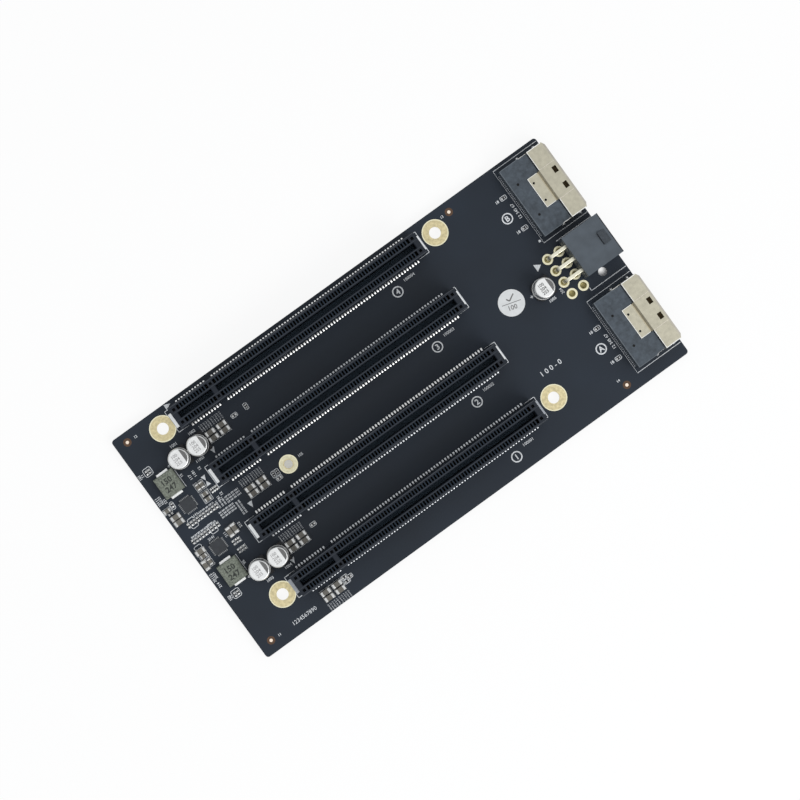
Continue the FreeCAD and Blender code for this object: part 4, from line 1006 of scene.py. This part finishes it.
for line in socket_lines:
    # Painted shade along the bend between tab and band
    fold = [(band_rear - FOLD - 0.3, tab_face), (band_rear - FOLD, tab_face),
            (band_rear - 0.3 * FOLD, tab_face + 0.7 * JOGGLE)]
    fold += [(x, z + FILM) for x, z in reversed(fold)]
    bends.bar(fold, TAB_HALF, line)
    # Painted highlights along the cut edges of the tab, band, roof and arms
    edges.film(tab_rear, line - TAB_HALF, tab_rear + TAB_EDGE, line + TAB_HALF, tab_face)
    rear_half, front_half = half_width - LIP_INSET, half_width - TRIM_Y
    lips.slab([(mouth - LIP, line - rear_half), (mouth - LIP_GAP, line - front_half),
               (mouth - LIP_GAP, line + front_half), (mouth - LIP, line + rear_half)], roof, roof + FILM)
    for sign in (1, -1):
        side = line + sign * half_width
        tab_side = line + sign * TAB_HALF
        edges.film(tab_rear + TAB_EDGE, tab_side, band_rear - FOLD, tab_side - sign * SIDE_EDGE, tab_face)
        edges.film(band_rear, tab_side + sign * TAB_EDGE, band_rear + BAND_EDGE, side, roof)
        edges.film(band_rear + BAND_EDGE, side, mouth - TRIM_X - TRIM_GAP, side - sign * ROOF_EDGE, roof)
        edges.film(band_rear - ARM, side, band_rear, side - sign * SHEET, TOP + ARM_HIGH)
        seam = tab_side + sign * SEAM_OUT
        seams.box((band_rear, seam - SEAM_HALF, roof - SEAM_DEEP),
                  (mouth - SEAM_FRONT, seam + SEAM_HALF, roof - SEAM_SUNK))
        pit = roof - PIT_DEEP
        eye = tab_face - EYE_DEEP
        # Painted shade in the pits and eyes
        hollows.disc(mouth - PIT_BACK, line + sign * PIT_SIDE, PIT_RADIUS, pit, pit + FILM)
        hollows.disc(tab_rear + EYE_IN, line + sign * EYE_SIDE, EYE_RADIUS, eye, tab_face + FILM)
        # Painted shade: dark springs under the windows
        window = line + sign * WINDOW_SIDE
        springs.box((mouth - SPRING_REAR, window - SPRING_HALF, roof - SPRING_FOOT),
                    (mouth - SPRING_FRONT, window + SPRING_HALF, roof - SPRING_TOP))
# Painted highlights: thin paler strips along the socket housings' rear and side top edges
RAIL_REAR, RAIL_SIDE, RAIL_STOP = 0.25, 0.2, 3.2
for letter in "ab":
    low, high = corners(f"cable_socket_{letter}_housing")
    rails.film(low.x, low.y, low.x + RAIL_REAR, high.y, high.z)
    for y in (low.y, high.y - RAIL_SIDE):
        rails.film(low.x + RAIL_REAR, y, band_rear - RAIL_STOP, y + RAIL_SIDE, high.z)
for name, stock, metal in (("cut_edges", edges, "cut_edge"), ("seams", seams, "seam_metal"),
                           ("bends", bends, "bend_metal"), ("lips", lips, "lip_metal"),
                           ("latch_springs", springs, "spring_bronze")):
    make_piece(f"shell_{name}", stock, metal)
make_piece("socket_hollows", hollows, "deep_hollow")
make_piece("socket_moulded_edges", rails, "moulded_edge")

# %% [markdown]
# Four fiducial marks guide the machine that places the parts: a bare copper dot in a ring of open laminate.

# %% Fiducials
DOT, WINDOW, OPEN_FILM = 0.5, 1.25, 0.008
dots = Stock()
windows = Stock()
for x, y in ((-61.05, 33.3), (57.15, 33.1), (70.25, -40.3), (-60.95, -39.6)):
    dots.turned(x, y, [(0, TOP), (DOT + 0.02, TOP), (DOT, TOP + PLATE), (0, TOP + PLATE)], 32)
    windows.ring(x, y, DOT, WINDOW, TOP, TOP + OPEN_FILM)
make_piece("fiducial_dots", dots, "bare_copper")
make_piece("fiducial_windows", windows, "bare_laminate")

# %% [markdown]
# The capacitors' cans are deep-drawn aluminium with a rounded shoulder and a rolled groove above the base. A
# can is turned from its outline, as on a lathe. The print on top is a dark segment for the negative side and
# plain numbers.

# %% Capacitor cans
CANS = (1, 2, 3, 4, 5)
FLAT = 0.98
# Points of the outline: how far inside the can's radius, and how far above its foot or below its lid
LOWER_CAN = ((0.18, 0), (0.06, 0.1), (0, 0.3), (0, 0.75), (0.2, 0.95), (0.28, 1.15), (0.2, 1.35), (0, 1.55))
UPPER_CAN = ((0, 0.5), (0.06, 0.26), (0.2, 0.1), (0.42, 0.02), (0.6, 0.02))
can_middles = [middle_of(f"capacitor_{number}_can") for number in CANS]
for number, (x, y) in zip(CANS, can_middles):
    low, high = corners(f"capacitor_{number}_can")
    radius = (high.x - low.x) / 2
    can = Stock()
    can.turned(x, y, [(0, low.z), *((radius - inside, low.z + up) for inside, up in LOWER_CAN),
                      *((radius - inside, high.z - down) for inside, down in UPPER_CAN),
                      (0, high.z - UPPER_CAN[-1][1])], 48)
    mesh = can.mesh(f"can_{number}")
    mesh.polygons.foreach_set("use_smooth", [abs(p.normal.z) < FLAT for p in mesh.polygons])
    make_piece(f"capacitor_{number}_drawn_can", mesh, "can_aluminium",
               [f"capacitor_{number}_can"])

# %% [markdown]
# Numbers are set with Blender's built-in font. Each is made a mesh once, at unit height, and then placed as
# often as it is needed. Only plain numbers and signs are printed, so the board could be any maker's.

# %% Numbers
INK = 0.02
glyph_cache = {}


def glyph(text, weight):
    """Points and faces of a word one unit high, centred, as a thin solid."""
    if (text, weight) not in glyph_cache:
        curve = bpy.data.curves.new("number", "FONT")
        set_all(curve, body=text, align_x="CENTER", align_y="CENTER", size=1.4, offset=weight, extrude=0.5,
                resolution_u=2)
        mesh = baked(place("number", curve))
        work = work_on(mesh)
        bmesh.ops.remove_doubles(work, verts=work.verts, dist=0.0001)
        points = [tuple(v.co) for v in work.verts]
        faces = [[v.index for v in face.verts] for face in work.faces]
        cx, cy = [(min(p[axis] for p in points) + max(p[axis] for p in points)) / 2 for axis in range(2)]
        glyph_cache[(text, weight)] = ([(x - cx, y - cy, z) for x, y, z in points], faces)
        work.free()
        bpy.data.meshes.remove(mesh)
    return glyph_cache[(text, weight)]


def print_number(stock, text, x, y, height, turn=0.0, base=TOP, weight=0.02):
    """Prints a number on a surface: its middle, height of the figures and turn in degrees."""
    points, faces = glyph(text, weight)
    c, s = math.cos(math.radians(turn)) * height, math.sin(math.radians(turn)) * height
    placed = [(x + c * px - s * py, y + s * px + c * py, base + INK * (pz + 0.5)) for px, py, pz in points]
    stock.add(placed, faces)


def stroke(stock, x0, y0, x1, y1, width, base=TOP):
    """A straight printed line."""
    length = math.hypot(x1 - x0, y1 - y0)
    nx, ny = -(y1 - y0) / length * width / 2, (x1 - x0) / length * width / 2
    outline = [(x0 - nx, y0 - ny), (x1 - nx, y1 - ny), (x1 + nx, y1 + ny), (x0 + nx, y0 + ny)]
    stock.slab(outline, base, base + INK)


def frame_lines(stock, x0, y0, x1, y1, width, sides="lrbt"):
    """The chosen sides of a printed rectangle: left, right, bottom and top."""
    lines = {"l": (x0, y0, x0, y1), "r": (x1, y0, x1, y1), "b": (x0, y0, x1, y0), "t": (x0, y1, x1, y1)}
    for key in sides:
        stroke(stock, *lines[key], width)


can_ink = Stock()
can_segments = Stock()
can_rims = Stock()
low, high = corners("capacitor_1_can")
lid = high.z - UPPER_CAN[-1][1]
REACH, CHORD, LONE_CAN, CAN_RIM = 2.72, 1.5, 5, (2.9, 3.28)
spread = math.acos(CHORD / REACH)
arc_angles = [spread * (k / 8 - 1) for k in range(17)]
for number, (x, y) in zip(CANS, can_middles):
    arc = [(x + REACH * math.cos(a), y + REACH * math.sin(a)) for a in arc_angles]
    can_segments.slab(arc, lid, lid + INK)
    # The lone can by the header is printed in the darker ink
    stock = can_segments if number == LONE_CAN else can_ink
    for figures, up in (("100", 1.3), ("204", 0.05), ("255", -1.2)):
        print_number(stock, figures, x - 0.55, y + up, 0.98, base=lid, weight=0.03)
    can_rims.ring(x, y, *CAN_RIM, low.z - 0.02, low.z + 0.22)
make_piece("can_print", can_ink, "faint_print")
make_piece("can_segments", can_segments, "segment_print")
make_piece("can_foot_rims", can_rims, "end_cap_tin")

# %% [markdown]
# White print tells the assembler where each part goes: a broken outline at each end of a slot, a triangle at
# its first contact, circled numbers, and small numbers beside the chips. All of it is one thin piece of ink.

# %% White print at the slots and sockets
ink = Stock()


def filled(*outline):
    """A filled printed shape."""
    ink.slab(outline, TOP, TOP + INK)


def circled(text, x, y):
    """A number or letter in a printed ring."""
    ink.ring(x, y, 1.35, 1.72, TOP, TOP + INK)
    print_number(ink, text, x, y, 1.7, weight=0.03)


OUTLINE_HALF, OUTLINE_LONG, LINE = 3.7, 3.6, 0.2
for number, line in zip(SLOTS, slot_lines):
    for x, inwards in ((first_contact - SLOT_END - 1.73, 1), (slot_high.x + 1.43, -1)):
        stroke(ink, x, line - OUTLINE_HALF, x, line + OUTLINE_HALF, LINE)
        for y in (line - OUTLINE_HALF, line + OUTLINE_HALF):
            stroke(ink, x, y, x + inwards * OUTLINE_LONG, y, LINE)
    circled(str(number), 30.7, line - 7.85)
    print_number(ink, f"10000{number}", 36.1, line - 6.2, 0.95, weight=0.01)
    if number < 4:
        x, y = (-42.05, line + 6.9) if number == 2 else (-41.75, line + 6.3)
        filled((x - 0.85, y + 0.95), (x, y - 1.0), (x + 0.85, y + 0.95))
filled((-45.9, 34.3), (-43.9, 35.3), (-45.9, 36.1))
filled((68.4, 2.9), (70.4, 4.15), (68.4, 5.4))
for letter, line in zip("AB", socket_lines):
    frame_lines(ink, 75.0, line - 13.1, 91.0, line + 13.15, 0.17, "bt")
    stroke(ink, 75.0, line - 13.1, 75.0, line + 13.15, 0.08)
    circled(letter, 70.3, line - 0.8)
    print_number(ink, "12 345 67", 73.8, line - 0.4, 0.95, 90)
stroke(ink, 73.9, socket_lines[1] - 11.9, 74.6, socket_lines[1] - 11.9, 0.7)
frame_lines(ink, 78.25, -11.1, 91.0, 7.15, 0.22, "bt")
stroke(ink, 78.25, -11.1, 78.25, -10.0, 0.22)
print("white print faces so far:", len(ink.faces))

# %% White print beside the small parts


def rounded_frame(x, y, w, h, radius=0.5, width=0.16):
    """A printed outline with rounded corners about a middle, with half its width and height."""
    outline = []
    for sx, sy, start in ((1, 1, 0), (-1, 1, 90), (-1, -1, 180), (1, -1, 270)):
        for k in range(4):
            angle = math.radians(start + 30 * k)
            outline.append((x + sx * w - sx * radius + radius * math.cos(angle),
                            y + sy * h - sy * radius + radius * math.sin(angle)))
    for start, stop in zip(outline, outline[1:] + outline[:1]):
        stroke(ink, *start, *stop, width)


LEFT = corners("circuit_board")[0].x
for number, line in zip(SLOTS, slot_lines):
    # The chips of slot 1 lie close to it, with their figures on the other side
    middle, away, side = (line - 8.0, -3.55, "t") if number == 1 else (line - 10.16, 3.4, "b")
    for column, x in enumerate((-39.39, -35.29)):
        for row, shift in enumerate((-1.58, -0.79, 0.0, 0.79, 1.58)):
            print_number(ink, f"{number}1{column}4 {row}17", x + shift, middle + away, 0.46, 90, weight=0.0)
    frame_lines(ink, -41.15, middle - 1.95, -33.5, middle + 1.95, 0.12, side)
for number, (x, y) in zip(CANS, can_middles):
    stroke(ink, x - 4.35, y, x - 3.45, y, 0.22)
    stroke(ink, x - 3.9, y - 0.45, x - 3.9, y + 0.45, 0.22)
    print_number(ink, str(1000 + number), x + 0.8, y + math.copysign(4.3, y), 0.9, weight=0.03)
COILS = ("inductor_1_body", "inductor_2_body")
for node in COILS:
    low, high = corners(node)
    stroke(ink, high.x + 0.3, low.y, high.x + 0.3, high.y, 0.16)
    print_number(ink, "15", high.x + 0.95, middle_of(node)[1], 0.8, 90, weight=0.03)
# Frames and figures at the regulators are measured from the board's left edge
for x, y, w, h in ((5.7, 2.5, 1.15, 1.6), (9.5, -2.2, 1.15, 1.6), (3.7, 22.6, 1.3, 1.3),
                   (3.85, -22.1, 1.35, 1.3), (2.6, -4.3, 1.2, 0.55), (3.75, 10.2, 0.6, 1.2)):
    rounded_frame(LEFT + x, y, w, h)
# Height, turn and weight of the figures, then their places
for height, turn, weight, places in (
        (0.85, 90, 0.02, ((0.75, 13.4, "10111"), (1.75, 13.4, "10121"), (2.7, 12.5, "131"),
                          (0.7, 22.5, "101"), (0.8, -14.4, "20112"), (1.8, -14.2, "2021"),
                          (1.2, -17.2, "214"), (1.6, 22.5, "11"),
                          (1.4, -22.1, "102"), (2.2, -22.1, "12"), (13.0, 14.0, "117"), (14.5, 14.2, "1181"),
                          (16.7, 14.6, "12"), (16.2, 3.9, "141"), (17.6, 4.7, "12"), (11.5, -6.1, "211"),
                          (16.6, -6.1, "212"), (11.1, -15.7, "15"))),
        (0.85, 0, 0.02, ((18.5, 16.6, "11003"),)),
        (0.8, 0, 0.02, ((7.4, 4.0, "1141"), (7.3, -4.4, "2141"))),
        (0.47, 0, 0.09, (*((20.06, y, "117 141 171 114 1") for y in (3.0, 2.17, 1.34)),
                         *((16.17, y, "211 241 271 214 21") for y in (0.2, -0.64, -1.47)),
                         (10.95, 3.84, "114 117 171 141 117 11"),
                         (7.0, -0.95, "214 217 271 241 217 211 217 21"))),
        (0.47, 90, 0.09, ((14.9, 2.5, "111 113 1"), (15.95, 2.5, "115 117 1"), (16.95, 2.5, "119 121 1"),
                          (19.6, -2.2, "211 213 215 217"), (20.53, -2.2, "215 217 211 213")))):
    for x, y, figures in places:
        print_number(ink, figures, LEFT + x, y, height, turn, weight=weight)
# Print of the two-way part by slot 3, shaped like a bow tie
x, y = LEFT + 16.15, 10.4
filled((x - 0.75, y + 1.7), (x + 0.75, y + 1.7), (x, y + 0.05))
filled((x - 0.75, y - 1.6), (x, y - 0.05), (x + 0.75, y - 1.6))
SINGLES_FROM, BY_SOCKETS, SMALL, LARGE = -35, 60, 1.5, 2.5
for (family, length, width, height), places in chips.items():
    for x, y, turn in places:
        single = family == "resistor" and x > SINGLES_FROM
        w, h = length / 2 + (0.5 if single else 0.42), width / 2 + (0.35 if single else 0.25)
        if turn:
            w, h = h, w
        if single:
            rounded_frame(x, y, w, h, 0.3, 0.18)
            if x > BY_SOCKETS:
                print_number(ink, "18", x - 2.2, y, 0.9, weight=0.03)
        elif length < SMALL:
            frame_lines(ink, x - w, y - h, x + w, y + h, 0.09, "r" if turn else "t")
        elif length < LARGE:
            frame_lines(ink, x - w, y - h, x + w, y + h, 0.1)
# Middle, height, turn and weight of the other figures
for figures, x, y, height, turn, weight in (
        ("11", -57.9, -39.7, 0.8, 0, 0.02), ("12", -58.0, 33.3, 0.8, 0, 0.02),
        ("13", 54.6, 33.1, 0.8, 0, 0.02), ("14", 68.9, -37.8, 0.8, 0, 0.02),
        ("1234567890", -48.5, -39.5, 1.25, 0, 0.0),
        ("1 0 0 - 0", 54.8, -22.7, 1.6, 0, 0.01), ("204", 70.9, -5.9, 0.95, 90, 0.0),
        ("105", -21.4, 0.2, 0.85, 0, 0.03)):
    print_number(ink, figures, x, y, height, turn, weight=weight)
make_piece("white_print", ink, "white_print")

# %% [markdown]
# The round sticker says that the board was tested: a tick over a line and a plain number. The coils carry
# plain numbers too, printed in a dark tone on their moulded tops.

# %% Sticker and part marks
marks = Stock()
sticker_x, sticker_y = middle_of("inspection_sticker")
sticker_face = corners("inspection_sticker")[1].z
SLANT = -16
c, s = math.cos(math.radians(SLANT)), math.sin(math.radians(SLANT))


def on_sticker(across, up):
    """A place on the sticker, which was stuck on a little askew."""
    return sticker_x + across * c - up * s, sticker_y + across * s + up * c


for start, stop, width in (((-3.0, 0.0), (3.0, 0.0), 0.2), ((-1.2, 1.5), (-0.35, 0.7), 0.38),
                           ((-0.35, 0.7), (1.4, 2.5), 0.38)):
    stroke(marks, *on_sticker(*start), *on_sticker(*stop), width, sticker_face)
print_number(marks, "100", *on_sticker(0, -1.35), 1.45, SLANT, sticker_face)
make_piece("sticker_print", marks, "grey_print")
coil_marks = Stock()
for node in COILS:
    x, y = middle_of(node)
    face = corners(node)[1].z - FILM
    for figures, up in (("150", 1.15), ("247", -1.25)):
        print_number(coil_marks, figures, x, y + up, 1.75, base=face, weight=0.035)
make_piece("coil_marks", coil_marks, "dark_print")

# %% [markdown]
